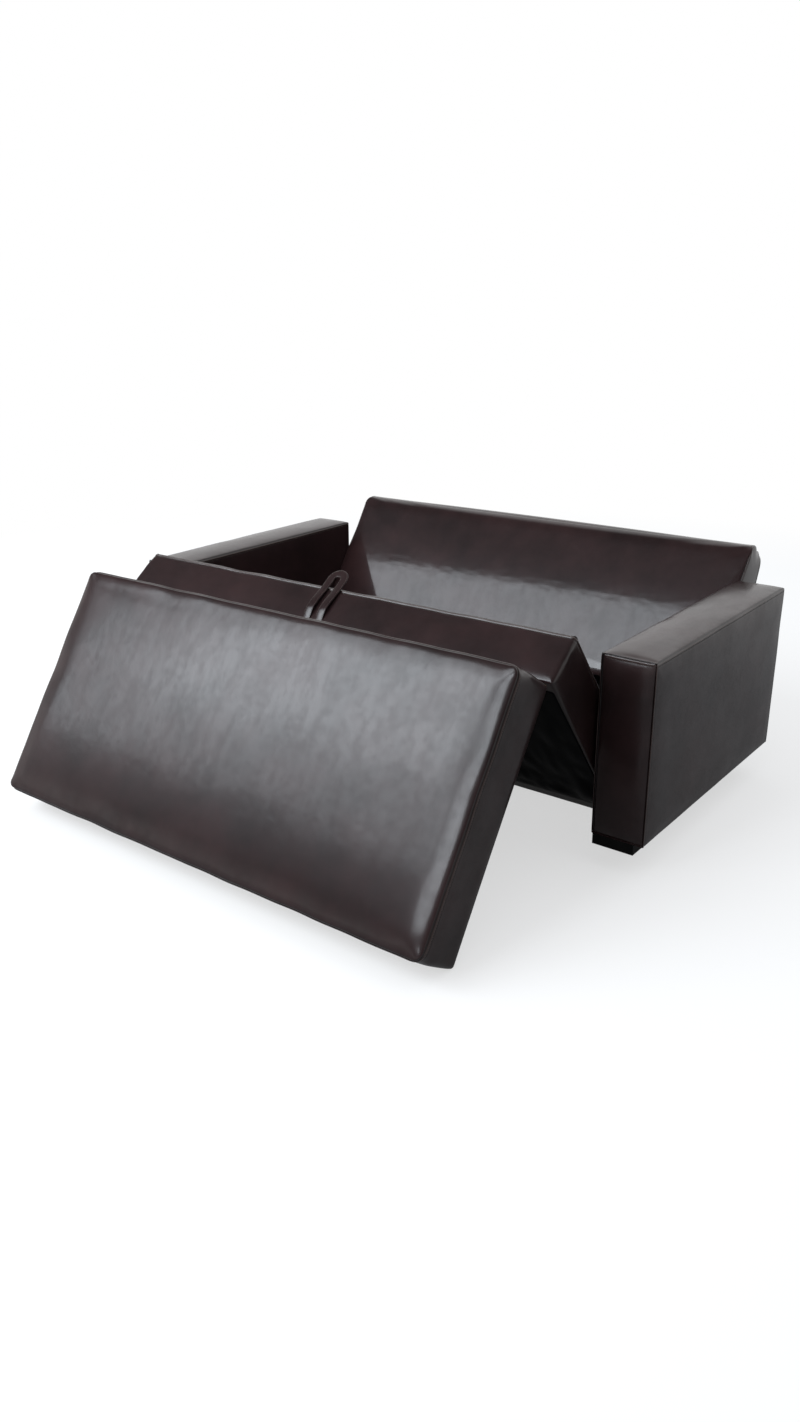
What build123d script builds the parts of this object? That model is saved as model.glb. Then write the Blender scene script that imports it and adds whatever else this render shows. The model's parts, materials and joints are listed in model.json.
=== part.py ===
from build123d import *
import os
from math import asin, atan2, cos, degrees, hypot, radians, sin

# A three-fold sofa bed, caught half unfolded. Two arms and a low wedge backrest stand still.
# Between the arms three padded sections fold like a Z: the rear one slides on the floor, the
# middle one is hinged to its top front edge, and the front one to the middle one's underside.
# Millimetres, +X along the sofa's width, +Y towards its back, +Z up, floor at z = 0.
# All pieces are first placed with y = 0 at the front of the arms.

# Arms
gap_between_arms = 1570
arm_width = 150
arm_depth = 880
arm_bottom = 100
arm_height = 500
arm_crown = 8
arm_corner = 14
arm_side_padding = 10
arm_top_padding = 24
arm_board = 12
arm_post = 40
arm_rail = 45

# Black base boards and legs under the arms
base_board_height = 30
base_board_side_inset = 27
base_board_end_inset = 4
leg_radius = 22
leg_foot_radius = 17
leg_flange_radius = 29
leg_flange = 4
leg_pad_radius = 15
leg_pad = 3
leg_front_inset = 190
leg_rear_inset = 90
leg_side_offset = 54
leg_count = 3
leg_screw_length = 24

# Backrest, a wedge between the arms that stands out behind them
back_overhang = 120
back_top_z = 686
back_bottom_z = 265
back_lean = 36.5
back_rear_lean = 15.3
back_top_thickness = 100
back_front_crown = 12
back_end_crown = 3
back_corner = 22
back_front_padding = 40
back_top_padding = 26
back_rear_padding = 18
back_panel = 18
back_inner_panels = 3
back_rail = 50
back_side_clearance = 0.5
back_bolt_rises = (23, 61)
back_bolt_rear_inset = 68

# Padded sections
section_side_gap = 15
front_length = 700
middle_length = 650
rear_length = 520
edge_thickness = 144
section_crown = 8
end_crown = 3
side_draw = 4
section_corner = 12
rail_height = 58
rail_width = 28
cross_rails = 2
slat_thickness = 12
slat_width = 60
slats_per_section = 7
front_lean = 56.45

# Covers, linings and fits
leather = 2
hem_width = 48
lining = 1
lining_inset = 40
soft_clearance = 0.3
face_clearance = 0.3
pin_clearance = 0.08
overrun = 5

# Feet under the front and the rear section
section_foot_height = 10
section_foot_radius = 13
section_foot_edge = 7
front_foot_count = 4
rear_foot_inset = 60

# Butt hinges under the seam of the front and middle sections
front_axis_drop = 5.2
front_end_gap = 4
knuckle_radius = 4.5
front_pin_radius = 2
front_pin_head_radius = 3.4
front_pin_head = 1.6
leaf_thickness = 2
leaf_reach = 34
knuckle_count = 3
knuckle_length = 29.7
knuckle_gap = 0.4
front_hinge_count = 4
front_hinge_row_length = 1240

# Side plates and rivets at the seam of the middle and rear sections
rear_end_gap = 0.5
plate_thickness = 2.5
lug_radius = 12
plate_length = 75
plate_depth = 28
plate_foot_start = 20
plate_leg_width = 30
plate_leg_end_gap = 8
plate_screw_end_gaps = (12, 34)
rivet_radius = 4
rivet_head_radius = 7
rivet_head = 1.6

# Wood screws
screw_radius = 2
screw_length = 18
screw_head_radius = 4
screw_head = 1.2
screw_clearance = 0.1

# Slide rails on the arms and runners on the rear section
closed_axis_y = 35
rear_section_back_gap = 16.5
slide_rail_thickness = 6
slide_rail_height = 20
slide_rail_bottom = 112
slide_rail_front_spare = 95.5
runner_length = 80
runner_lip = 9
runner_front_inset = 150
runner_rear_inset = 40

# Rear stretcher, a board on edge between the arms
stretcher_depth = 30
stretcher_rear_gap = 8
bracket_leg = 36
bracket_thickness = 3
bracket_height = 34

# Bolts that hold the backrest to the arms
bolt_radius = 4
bolt_head_radius = 8
bolt_head = 5
bolt_clearance = 0.1
bolt_grip = 14

# Pull strap in the seam of the front and middle sections
strap_band = 25
strap_width = 70
strap_thickness = 3
strap_foot_height = 1
strap_rise = 52
strap_x = -10
clamp_height = 13
clamp_thickness = 1.5
clamp_overhang = 8
clamp_above_foot = 3

# Worked out from the sizes above
half_gap = gap_between_arms / 2
arm_top = arm_bottom + arm_height
back_top_y = arm_depth + back_overhang
back_bolt_y = arm_depth - back_bolt_rear_inset
back_bolt_heights = [back_bottom_z + rise for rise in back_bolt_rises]
leg_height = arm_bottom - base_board_height
section_width = gap_between_arms - 2 * section_side_gap
half_width = section_width / 2
section_body = edge_thickness + section_crown
sleep_plane = section_foot_height + section_body
stretcher_front = arm_depth - stretcher_rear_gap - stretcher_depth
rear_axis_at_rest = stretcher_front - rear_section_back_gap - rear_length - rear_end_gap
rear_axis_z = sleep_plane + face_clearance
close_travel = rear_axis_at_rest - closed_axis_y
runner_starts = (runner_front_inset, rear_length - runner_rear_inset - runner_length)
slide_rail_front = rear_axis_at_rest - close_travel + rear_end_gap + runner_starts[0] - slide_rail_front_spare
leaf_width = knuckle_count * knuckle_length + (knuckle_count - 1) * knuckle_gap


def height_over_floor(along, below):
    """Height of the front axis when a point of the front section, along and below it, is on the floor."""
    tilt = radians(front_lean)
    return along * sin(tilt) + below * cos(tilt)


front_reach = front_end_gap + front_length
front_axis_z = max(
    height_over_floor(front_reach - section_foot_edge, section_foot_height - front_axis_drop),
    height_over_floor(front_reach, -front_axis_drop),
)

# The middle section leans so that its lower hinge axis is at that height
axis_depth = face_clearance + section_body + front_axis_drop
axis_reach = rear_end_gap + middle_length + front_end_gap
lean = asin((front_axis_z - rear_axis_z) / hypot(axis_reach, axis_depth)) + atan2(axis_depth, axis_reach)
middle_lean = degrees(lean)
front_axis_y = rear_axis_at_rest - axis_reach * cos(lean) - axis_depth * sin(lean)


def block(x, y, z):
    """Box between the two ends given for each axis."""
    size = [abs(ends[1] - ends[0]) for ends in (x, y, z)]
    middle = [(ends[0] + ends[1]) / 2 for ends in (x, y, z)]
    return Pos(*middle) * Box(*size)


def bar(radius, x, y, z):
    """Round bar along X between two x values."""
    ends = (min(x), max(x))
    place = Pos((ends[0] + ends[1]) / 2, y, z) * Rot(0, 90, 0)
    return place * Cylinder(radius, ends[1] - ends[0])


def post(radius, x, y, z):
    """Round post along Z between two z values."""
    return Pos(x, y, (z[0] + z[1]) / 2) * Cylinder(radius, z[1] - z[0])


def fused(pieces):
    """One solid from pieces that meet."""
    whole = pieces[0]
    for piece in pieces[1:]:
        whole = whole + piece
    return whole


def group(pieces):
    """Separate solids kept together."""
    solids = []
    for piece in pieces:
        solids += piece.solids()
    return Compound(children=solids)


def mirrored(piece):
    """The same piece on the other side of the sofa."""
    solids = [mirror(solid, about=Plane.YZ) for solid in piece.solids()]
    return solids[0] if len(solids) == 1 else group(solids)


def both_sides(pieces):
    return list(pieces) + [mirrored(piece) for piece in pieces]


# Soft forms

def cushion_outline(side, low, high, rise, corner):
    """Cross-section with straight sides, round shoulders and a crowned top."""
    shoulder = side - corner
    turn = corner * sin(radians(45))
    right_knee = (shoulder + turn, high - corner + turn)
    left_knee = (-shoulder - turn, high - corner + turn)
    return [
        Line((-side, low), (side, low)),
        Line((side, low), (side, high - corner)),
        ThreePointArc((side, high - corner), right_knee, (shoulder, high)),
        ThreePointArc((shoulder, high), (0, high + rise), (-shoulder, high)),
        ThreePointArc((-shoulder, high), left_knee, (-side, high - corner)),
        Line((-side, high - corner), (-side, low)),
    ]


def cushion_form(side, y, low, high, rises, draw, corner):
    """Crowned block along Y whose sides draw in between its ends; rises is (end, middle)."""
    ends = (min(y), max(y))
    stations = (
        (ends[0], side, rises[0]),
        ((ends[0] + ends[1]) / 2, side - draw, rises[1]),
        (ends[1], side, rises[0]),
    )
    faces = []
    for place, reach, rise in stations:
        plane = Plane(origin=(0, place, 0), x_dir=(1, 0, 0), z_dir=(0, -1, 0))
        faces.append(plane * make_face(cushion_outline(reach, low, high, rise, corner)))
    return loft(faces)


# Screws and bolts

def wood_screw(x, y, face_z):
    """Screw that points up, its head under a face at face_z, with the cutter for its hole."""
    top = face_z + screw_length
    screw = fused([
        post(screw_head_radius, x, y, (face_z - screw_head, face_z)),
        post(screw_radius, x, y, (face_z - screw_head / 2, top)),
    ])
    cutter = post(screw_radius + screw_clearance, x, y, (face_z - overrun, top + screw_clearance))
    return screw, cutter


def side_screw(face_x, y, z):
    """Screw that points towards the middle of the sofa, its head outside a face at face_x."""
    tip = face_x - screw_length
    screw = fused([
        bar(screw_head_radius, (face_x, face_x + screw_head), y, z),
        bar(screw_radius, (tip, face_x + screw_head / 2), y, z),
    ])
    cutter = bar(screw_radius + screw_clearance, (tip - screw_clearance, face_x + overrun), y, z)
    return screw, cutter


# Arms, made on the right and mirrored to the left

arm_core_x = (half_gap + leather + arm_side_padding, half_gap + arm_width - leather - arm_side_padding)
arm_core_y = (leather + arm_side_padding, arm_depth - leather - arm_side_padding)
arm_core_z = (arm_bottom + leather, arm_top - leather - arm_top_padding)


def arm_form(inset):
    """Crowned block of one arm, drawn in all round by inset, but standing on its bottom."""
    form = cushion_form(
        arm_width / 2 - inset, (inset, arm_depth - inset), arm_bottom + min(inset, leather),
        arm_top - inset, (arm_crown, arm_crown), 0, arm_corner - min(inset, leather))
    return Pos(half_gap + arm_width / 2, 0, 0) * form


def arm_bolt(y, z):
    """Bolt from the hollow of the arm into the backrest, with the cutter for its hole."""
    inside = arm_core_x[0] + arm_board
    tip = half_gap - back_side_clearance - leather - soft_clearance - bolt_grip
    bolt = fused([
        bar(bolt_head_radius, (inside, inside + bolt_head), y, z),
        bar(bolt_radius, (tip, inside + bolt_head / 2), y, z),
    ])
    cutter = bar(bolt_radius + bolt_clearance, (tip - bolt_clearance, inside + bolt_head / 2), y, z)
    return bolt, cutter


back_bolts = [arm_bolt(back_bolt_y, height) for height in back_bolt_heights]


def cut_all(piece, cutters):
    for cutter in cutters:
        piece = piece - cutter
    return piece


def arm_cover():
    opening = block(
        (half_gap + hem_width, half_gap + arm_width - hem_width),
        (hem_width, arm_depth - hem_width), (arm_bottom - overrun, arm_bottom + leather + overrun))
    return cut_all(arm_form(0) - arm_form(leather) - opening, [cutter for _, cutter in back_bolts])


def arm_padding():
    core = block(arm_core_x, arm_core_y, (arm_bottom, arm_core_z[1]))
    return cut_all(arm_form(leather + soft_clearance) - core, [cutter for _, cutter in back_bolts])


def arm_frame():
    """Inner and outer boards on posts at the front and rear, with rails at the top and bottom."""
    boards = [
        block((arm_core_x[0], arm_core_x[0] + arm_board), arm_core_y, arm_core_z),
        block((arm_core_x[1] - arm_board, arm_core_x[1]), arm_core_y, arm_core_z),
    ]
    between = (arm_core_x[0] + arm_board, arm_core_x[1] - arm_board)
    posts = [
        block(between, (arm_core_y[0], arm_core_y[0] + arm_post), arm_core_z),
        block(between, (arm_core_y[1] - arm_post, arm_core_y[1]), arm_core_z),
    ]
    rail_y = (arm_core_y[0] + arm_post, arm_core_y[1] - arm_post)
    rails = [
        block(between, rail_y, (arm_core_z[1] - arm_rail, arm_core_z[1])),
        block(between, rail_y, (arm_core_z[0], arm_core_z[0] + arm_rail)),
    ]
    cutters = [cutter for _, cutter in back_bolts] + [cutter for _, cutter in leg_screw_sets]
    return group([cut_all(piece, cutters) for piece in boards + posts + rails])


base_x = (half_gap + base_board_end_inset, half_gap + arm_width - base_board_side_inset)
base_y = (base_board_end_inset, arm_depth - base_board_end_inset)
leg_x = half_gap + leg_side_offset
leg_pitch = (arm_depth - leg_front_inset - leg_rear_inset) / (leg_count - 1)
leg_places = [leg_front_inset + leg_pitch * count for count in range(leg_count)]


def leg(y):
    """Tapered round leg with a flange at its top."""
    neck = leg_height - leg_flange
    outline = make_face([
        Line((0, leg_pad), (leg_foot_radius, leg_pad)),
        Line((leg_foot_radius, leg_pad), (leg_radius, neck)),
        Line((leg_radius, neck), (leg_flange_radius, neck)),
        Line((leg_flange_radius, neck), (leg_flange_radius, leg_height)),
        Line((leg_flange_radius, leg_height), (0, leg_height)),
        Line((0, leg_height), (0, leg_pad)),
    ])
    return Pos(leg_x, y, 0) * revolve(Plane.XZ * outline, Axis.Z)


def leg_screws(y):
    """One dowel screw in the middle of each leg, up through the base board into the bottom rail."""
    ends = (leg_height - leg_screw_length, arm_core_z[0] + leg_screw_length)
    screw = post(screw_radius, leg_x, y, ends)
    room = (ends[0] - screw_clearance, ends[1] + screw_clearance)
    return screw, post(screw_radius + screw_clearance, leg_x, y, room)


leg_screw_sets = [leg_screws(y) for y in leg_places]


# Backrest

def back_profile(insets):
    """Corners of the wedge (y, z) with its front, top, rear and bottom drawn in by insets."""
    front, top, rear, bottom = insets
    slope = radians(back_lean)
    rear_slope = radians(back_rear_lean)
    along = Vector(sin(slope), cos(slope))
    inward = Vector(cos(slope), -sin(slope))
    rear_along = Vector(sin(rear_slope), cos(rear_slope))
    rear_inward = Vector(-cos(rear_slope), sin(rear_slope))
    front_top = Vector(back_top_y, back_top_z)
    rear_top = front_top + inward * back_top_thickness
    low = back_bottom_z + bottom

    def crossing(a, a_dir, b, b_dir):
        gap = b - a
        reach = (gap.X * b_dir.Y - gap.Y * b_dir.X) / (a_dir.X * b_dir.Y - a_dir.Y * b_dir.X)
        return a + a_dir * reach

    face = front_top + inward * front
    cap = front_top - along * top
    back = rear_top + rear_inward * rear
    floor = Vector(0, low)
    level = Vector(1, 0)
    corners = [
        crossing(face, along, floor, level),
        crossing(back, rear_along, floor, level),
        crossing(back, rear_along, cap, inward),
        crossing(face, along, cap, inward),
    ]
    return [(corner.X, corner.Y) for corner in corners], inward


def back_face(x, insets, crown, corner):
    """The wedge's outline at one x, with a crowned front and round corners."""
    points, inward = back_profile(insets)
    low, top = points[0], points[3]
    swell = ((low[0] + top[0]) / 2 - inward.X * crown, (low[1] + top[1]) / 2 - inward.Y * crown)
    sides = [Line(points[count], points[count + 1]) for count in range(3)]
    front = ThreePointArc(top, swell, low)
    outline = make_face(sides + [front])
    outline = fillet(outline.vertices(), corner)
    return Plane(origin=(x, 0, 0), x_dir=(0, 1, 0), z_dir=(1, 0, 0)) * outline


def back_form(inset, corner):
    """Wedge across the sofa whose front swells from its ends to its middle."""
    side = half_gap - back_side_clearance - inset
    insets = (inset, inset, inset, min(inset, leather))
    ends = back_end_crown
    return loft([
        back_face(-side, insets, ends, corner),
        back_face(0, insets, back_front_crown, corner),
        back_face(side, insets, ends, corner),
    ])


def back_slab(x, insets):
    """Flat-sided wedge between two x values."""
    points, _ = back_profile(insets)
    outline = make_face(Polyline(*points, close=True))
    plane = Plane(origin=(x[0], 0, 0), x_dir=(0, 1, 0), z_dir=(1, 0, 0))
    return extrude(plane * outline, x[1] - x[0])


back_inner_side = half_gap - back_side_clearance - leather - soft_clearance
back_core_insets = (
    leather + back_front_padding, leather + back_top_padding,
    leather + back_rear_padding, leather,
)


def backrest_cover():
    points, _ = back_profile((0, 0, 0, 0))
    opening = block(
        (-back_inner_side + hem_width, back_inner_side - hem_width),
        (points[0][0] + hem_width, points[1][0] - hem_width),
        (back_bottom_z - overrun, back_bottom_z + leather + overrun))
    shell = back_form(0, back_corner) - back_form(leather, back_corner - leather) - opening
    return cut_all(shell, both_sides([cutter for _, cutter in back_bolts]))


def backrest_padding():
    body = back_form(leather + soft_clearance, back_corner - leather)
    room = (-half_gap, half_gap)
    return body - back_slab(room, back_core_insets)


def backrest_frame():
    """Wedge-shaped panels across the width, joined by a top and a bottom rail."""
    span = 2 * back_inner_side
    step = (span - back_panel) / (back_inner_panels + 1)
    starts = [-back_inner_side + step * count for count in range(back_inner_panels + 2)]
    panels = [back_slab((start, start + back_panel), back_core_insets) for start in starts]
    points, _ = back_profile(back_core_insets)
    low, high = points[0][1], points[3][1]
    reach = (points[0][0] - overrun, points[2][0] + overrun)
    rails = []
    for count in range(back_inner_panels + 1):
        x = (starts[count] + back_panel, starts[count + 1])
        slab = back_slab(x, back_core_insets)
        rails.append(slab & block(x, reach, (low, low + back_rail)))
        rails.append(slab & block(x, reach, (high - 2 * back_rail, high + overrun)))
    cutters = both_sides([cutter for _, cutter in back_bolts])
    return group([cut_all(piece, cutters) for piece in panels + rails])


def backrest_lining():
    points, _ = back_profile((0, 0, 0, 0))
    return block(
        (-back_inner_side + lining_inset, back_inner_side - lining_inset),
        (points[0][0] + lining_inset, points[1][0] - lining_inset),
        (back_bottom_z - lining, back_bottom_z))


# Rear stretcher, which reaches up to the backrest, and its brackets

stretcher_y = (stretcher_front, stretcher_front + stretcher_depth)
stretcher_z = (slide_rail_bottom, back_bottom_z - lining - face_clearance)


def stretcher_bracket():
    """Steel angle in the corner of the stretcher's front face and the arm."""
    face = half_gap
    front = stretcher_front
    z = (stretcher_z[0], stretcher_z[0] + bracket_height)
    on_arm = block((face - bracket_thickness, face), (front - bracket_leg / 2, front), z)
    on_beam = block((face - bracket_leg, face), (front - bracket_thickness, front), z)
    return on_arm + on_beam


# Slide rails

def slide_rail():
    top = slide_rail_bottom + slide_rail_height
    return block(
        (half_gap - slide_rail_thickness, half_gap),
        (slide_rail_front, stretcher_front - bracket_leg), (slide_rail_bottom, top))


# Padded sections. Each is made flat, with y and z counted from its own hinge axis.

def section_pieces(y, under, draw, cutters):
    """Cover, padding, frame, slats and lining of a section that spans y above z = under."""
    ends = (min(y), max(y))
    high = under + edge_thickness
    rises = (end_crown, section_crown)
    outer = cushion_form(half_width, ends, under, high, rises, draw, section_corner)

    def inner(inset, low):
        return cushion_form(
            half_width - inset, (ends[0] + inset, ends[1] - inset), low, high - inset,
            rises, draw, section_corner - leather)

    opening = block(
        (-half_width + hem_width, half_width - hem_width),
        (ends[0] + hem_width, ends[1] - hem_width), (under - overrun, under + leather + overrun))
    cover = cut_all(outer - inner(leather, under + leather) - opening, cutters)

    side = half_width - leather - side_draw - soft_clearance
    low = under + leather
    top = low + rail_height
    frame_y = (ends[0] + leather + soft_clearance, ends[1] - leather - soft_clearance)
    rails = [
        block((side - rail_width, side), frame_y, (low, top)),
        block((-side, rail_width - side), frame_y, (low, top)),
    ]
    pitch = (frame_y[1] - frame_y[0] - rail_width) / (cross_rails + 1)
    for count in range(cross_rails + 2):
        start = frame_y[0] + pitch * count
        rails.append(block((rail_width - side, side - rail_width), (start, start + rail_width), (low, top)))
    frame = group([cut_all(rail, cutters) for rail in rails])

    slat_pitch = (frame_y[1] - frame_y[0] - slat_width) / (slats_per_section - 1)
    slats = []
    for count in range(slats_per_section):
        start = frame_y[0] + slat_pitch * count
        slats.append(block((-side, side), (start, start + slat_width), (top, top + slat_thickness)))

    lining_sheet = block(
        (-half_width + lining_inset, half_width - lining_inset),
        (ends[0] + lining_inset, ends[1] - lining_inset), (under - lining, under))
    return {
        "cover": cover,
        "padding": inner(leather + soft_clearance, top + slat_thickness),
        "frame": frame,
        "slats": group(slats),
        "dust_cover": lining_sheet,
    }


def section_foot(x, y, under):
    return post(section_foot_radius, x, y, (under - section_foot_height, under))


# Butt hinges, made about the front axis with the middle section towards +Y

hinge_pitch = front_hinge_row_length / (front_hinge_count - 1)
hinge_places = [hinge_pitch * count - front_hinge_row_length / 2 for count in range(front_hinge_count)]


def leaf(x, toward, outer_knuckles):
    """Leaf on one side of the axis (toward is +1 or -1), with every second knuckle."""
    left = x - leaf_width / 2
    step = knuckle_length + knuckle_gap
    wanted = range(0 if outer_knuckles else 1, knuckle_count, 2)
    z = (front_axis_drop - leaf_thickness, front_axis_drop)
    shoulder = knuckle_radius + knuckle_gap
    pieces = [block((left, left + leaf_width), (toward * shoulder, toward * leaf_reach), z)]
    for count in wanted:
        span = (left + step * count, left + step * count + knuckle_length)
        pieces.append(block(span, (0, toward * shoulder), z))
        pieces.append(bar(knuckle_radius, span, 0, 0))
    bore = bar(front_pin_radius + pin_clearance, (left - overrun, left + leaf_width + overrun), 0, 0)
    return fused(pieces) - bore


def front_pin(x):
    left = x - leaf_width / 2
    head = (left - front_pin_head - knuckle_gap, left - knuckle_gap)
    return fused([
        bar(front_pin_radius, (left - front_pin_head, left + leaf_width + front_pin_head), 0, 0),
        bar(front_pin_head_radius, head, 0, 0),
    ])


def leaf_screw_sets(toward, face_z):
    """Two screws through each leaf into the end rail of its section."""
    y = toward * (leaf_reach + knuckle_radius) / 2
    places = []
    for x in hinge_places:
        for side in (-1, 1):
            places.append(wood_screw(x + side * leaf_width / 3, y, face_z - leaf_thickness))
    return places


# Side plates, made about the rear axis on the right-hand side

plate_leg_y = (plate_length - plate_leg_width, plate_length)
plate_leg_low = plate_leg_end_gap - face_clearance - section_body


def side_plate(x, toward):
    """Lug round the axis, an arm along the section's side and a leg down to its side rail."""
    arm = block(x, (0, toward * plate_length), (-plate_depth, -face_clearance))
    leg = block(x, [toward * y for y in plate_leg_y], (plate_leg_low, -face_clearance))
    bore = bar(rivet_radius + pin_clearance, (min(x) - overrun, max(x) + overrun), 0, 0)
    return fused([bar(lug_radius, x, 0, 0), arm, leg]) - bore


rear_plate_x = (half_width + face_clearance, half_width + face_clearance + plate_thickness)
middle_plate_x = (rear_plate_x[1] + face_clearance, rear_plate_x[1] + face_clearance + plate_thickness)
plate_screw_heights = [plate_leg_low + gap for gap in plate_screw_end_gaps]


def rear_side_plate():
    return side_plate(rear_plate_x, 1)


def middle_side_plate():
    """The outer plate, joggled towards its section beyond the reach of the inner plate's lug."""
    room = (rear_plate_x[0], middle_plate_x[0])
    foot = block(room, (-plate_foot_start, -plate_length), (-plate_depth, -face_clearance))
    leg = block(room, [-y for y in plate_leg_y], (plate_leg_low, -face_clearance))
    return fused([side_plate(middle_plate_x, -1), foot, leg])


def plate_screws(face_x, toward):
    y = toward * sum(plate_leg_y) / 2
    return [side_screw(face_x, y, height) for height in plate_screw_heights]


def rivet():
    outside = middle_plate_x[1] + pin_clearance
    return fused([
        bar(rivet_radius, (rear_plate_x[0], outside + rivet_head / 2), 0, 0),
        bar(rivet_head_radius, (outside, outside + rivet_head), 0, 0),
    ])


# Runners on the rear section

def runner(start):
    """Channel on the rear section's side that holds the slide rail, made in rear axis places."""
    rail = (slide_rail_bottom - rear_axis_z, slide_rail_bottom + slide_rail_height - rear_axis_z)
    outside = half_gap - face_clearance
    room = half_gap - slide_rail_thickness - face_clearance
    y = (rear_end_gap + start, rear_end_gap + start + runner_length)
    whole = block(
        (half_width, outside), y,
        (rail[0] - face_clearance - runner_lip, rail[1] + face_clearance + runner_lip))
    slot = block(
        (room, outside + overrun), (y[0] - overrun, y[1] + overrun),
        (rail[0] - face_clearance, rail[1] + face_clearance))
    return whole - slot


# Pull strap, made in the middle section's places about the rear axis

strap_back_y = -rear_end_gap - middle_length - face_clearance
strap_front_y = strap_back_y - strap_thickness
strap_low_z = -face_clearance - section_body + strap_foot_height
strap_high_z = -face_clearance + strap_rise
clamp_low_z = strap_low_z + clamp_above_foot
clamp_y = (strap_front_y - clamp_thickness, strap_front_y)


def strap():
    """Flat loop: two legs side by side joined by a round top."""
    outer = strap_width / 2
    hole = outer - strap_band
    centre = strap_high_z - outer

    def arch(radius):
        return make_face([
            Line((-radius, strap_low_z), (radius, strap_low_z)),
            Line((radius, strap_low_z), (radius, centre)),
            ThreePointArc((radius, centre), (0, centre + radius), (-radius, centre)),
            Line((-radius, centre), (-radius, strap_low_z)),
        ])

    plane = Plane(origin=(strap_x, strap_back_y, 0), x_dir=(1, 0, 0), z_dir=(0, -1, 0))
    band = extrude(plane * (arch(outer) - arch(hole)), strap_thickness)
    return cut_all(band, [cutter for _, cutter in strap_screws])


def end_screw(x, z):
    """Screw that points back into the middle section's end rail, with the cutter for its hole."""
    face = clamp_y[0]
    place = Pos(x, 0, z) * Rot(-90, 0, 0)
    tip = face + screw_length
    screw = place * fused([
        post(screw_head_radius, 0, 0, (face - screw_head, face)),
        post(screw_radius, 0, 0, (face - screw_head / 2, tip)),
    ])
    cutter = place * post(
        screw_radius + screw_clearance, 0, 0, (face - overrun, tip + screw_clearance))
    return screw, cutter


strap_screws = [
    end_screw(strap_x + side * (strap_width - strap_band) / 2, clamp_low_z + clamp_height / 2)
    for side in (-1, 1)
]


def strap_clamp():
    reach = strap_width / 2 + clamp_overhang
    bar_piece = block(
        (strap_x - reach, strap_x + reach), clamp_y, (clamp_low_z, clamp_low_z + clamp_height))
    return cut_all(bar_piece, [cutter for _, cutter in strap_screws])


# Places of the three sections' own frames at rest

rear_place = Pos(0, rear_axis_at_rest, rear_axis_z)
middle_place = rear_place * Rot(-middle_lean, 0, 0)
front_place = Pos(0, front_axis_y, front_axis_z) * Rot(front_lean, 0, 0)
middle_to_front_axis = Pos(0, -axis_reach, -axis_depth)


def rear_section():
    y = (rear_end_gap, rear_end_gap + rear_length)
    under = -face_clearance - section_body
    screws = plate_screws(rear_plate_x[1], 1)
    all_screws = both_sides([screw for screw, _ in screws])
    cutters = both_sides([cutter for _, cutter in screws])
    pieces = section_pieces(y, under, 0, cutters)
    feet = []
    for x in (rear_foot_inset - half_width, half_width - rear_foot_inset):
        for place in (y[0] + rear_foot_inset, y[1] - rear_foot_inset):
            feet.append(section_foot(x, place, under - lining) & block(
                (-half_width, half_width), y, (under - section_foot_height, under - lining)))
    plates = both_sides([cut_all(rear_side_plate(), [cutter for _, cutter in screws])])
    nodes = {"rear_section_" + name: piece for name, piece in pieces.items()}
    nodes["rear_section_feet"] = group(feet)
    nodes["rear_hinge_plates"] = group(plates)
    nodes["rear_plate_screws"] = group(all_screws)
    nodes["guide_runners"] = group(both_sides([runner(start) for start in runner_starts]))
    return nodes


def middle_section():
    y = (-rear_end_gap - middle_length, -rear_end_gap)
    under = -face_clearance - section_body
    side_screws = plate_screws(middle_plate_x[1], -1)
    side_cutters = [cutter for _, cutter in side_screws]
    leaf_screws = leaf_screw_sets(1, front_axis_drop)
    leaf_cutters = [cutter for _, cutter in leaf_screws]
    at_axis = [middle_to_front_axis * cutter for cutter in leaf_cutters]
    strap_cutters = [cutter for _, cutter in strap_screws]
    pieces = section_pieces(
        y, under, side_draw, both_sides(side_cutters) + at_axis + strap_cutters)
    leaves = [cut_all(leaf(x, 1, False), leaf_cutters) for x in hinge_places]
    nodes = {"middle_section_" + name: piece for name, piece in pieces.items()}
    nodes["middle_hinge_plates"] = group(both_sides([cut_all(middle_side_plate(), side_cutters)]))
    nodes["middle_plate_screws"] = group(both_sides([screw for screw, _ in side_screws]))
    nodes["middle_hinge_leaves"] = middle_to_front_axis * group(leaves)
    nodes["middle_leaf_screws"] = middle_to_front_axis * group([screw for screw, _ in leaf_screws])
    nodes["pull_strap"] = strap()
    nodes["strap_clamp"] = strap_clamp()
    nodes["strap_clamp_screws"] = group([screw for screw, _ in strap_screws])
    return nodes


def front_section():
    y = (-front_end_gap - front_length, -front_end_gap)
    leaf_screws = leaf_screw_sets(-1, front_axis_drop)
    leaf_cutters = [cutter for _, cutter in leaf_screws]
    foot_y = y[0] + section_foot_edge + section_foot_radius
    spread = section_width - 2 * rear_foot_inset
    foot_pitch = spread / (front_foot_count - 1)
    foot_places = [foot_pitch * count - spread / 2 for count in range(front_foot_count)]
    feet = [section_foot(x, foot_y, front_axis_drop) for x in foot_places]
    foot_screws = [
        wood_screw(x, foot_y, front_axis_drop - section_foot_height / 2) for x in foot_places]
    foot_cutters = [cutter for _, cutter in foot_screws]
    sinks = [
        post(screw_head_radius + screw_clearance, x, foot_y,
             (front_axis_drop - section_foot_height - overrun, front_axis_drop - section_foot_height / 2))
        for x in foot_places]
    pieces = section_pieces(y, front_axis_drop, side_draw, leaf_cutters + foot_cutters)
    nodes = {"front_section_" + name: piece for name, piece in pieces.items()}
    nodes["front_section_feet"] = group([cut_all(foot, foot_cutters + sinks) for foot in feet])
    nodes["front_foot_screws"] = group([screw for screw, _ in foot_screws])
    leaves = [cut_all(leaf(x, -1, True), leaf_cutters) for x in hinge_places]
    nodes["front_hinge_leaves"] = group(leaves)
    nodes["front_leaf_screws"] = group([screw for screw, _ in leaf_screws])
    return nodes


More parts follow.
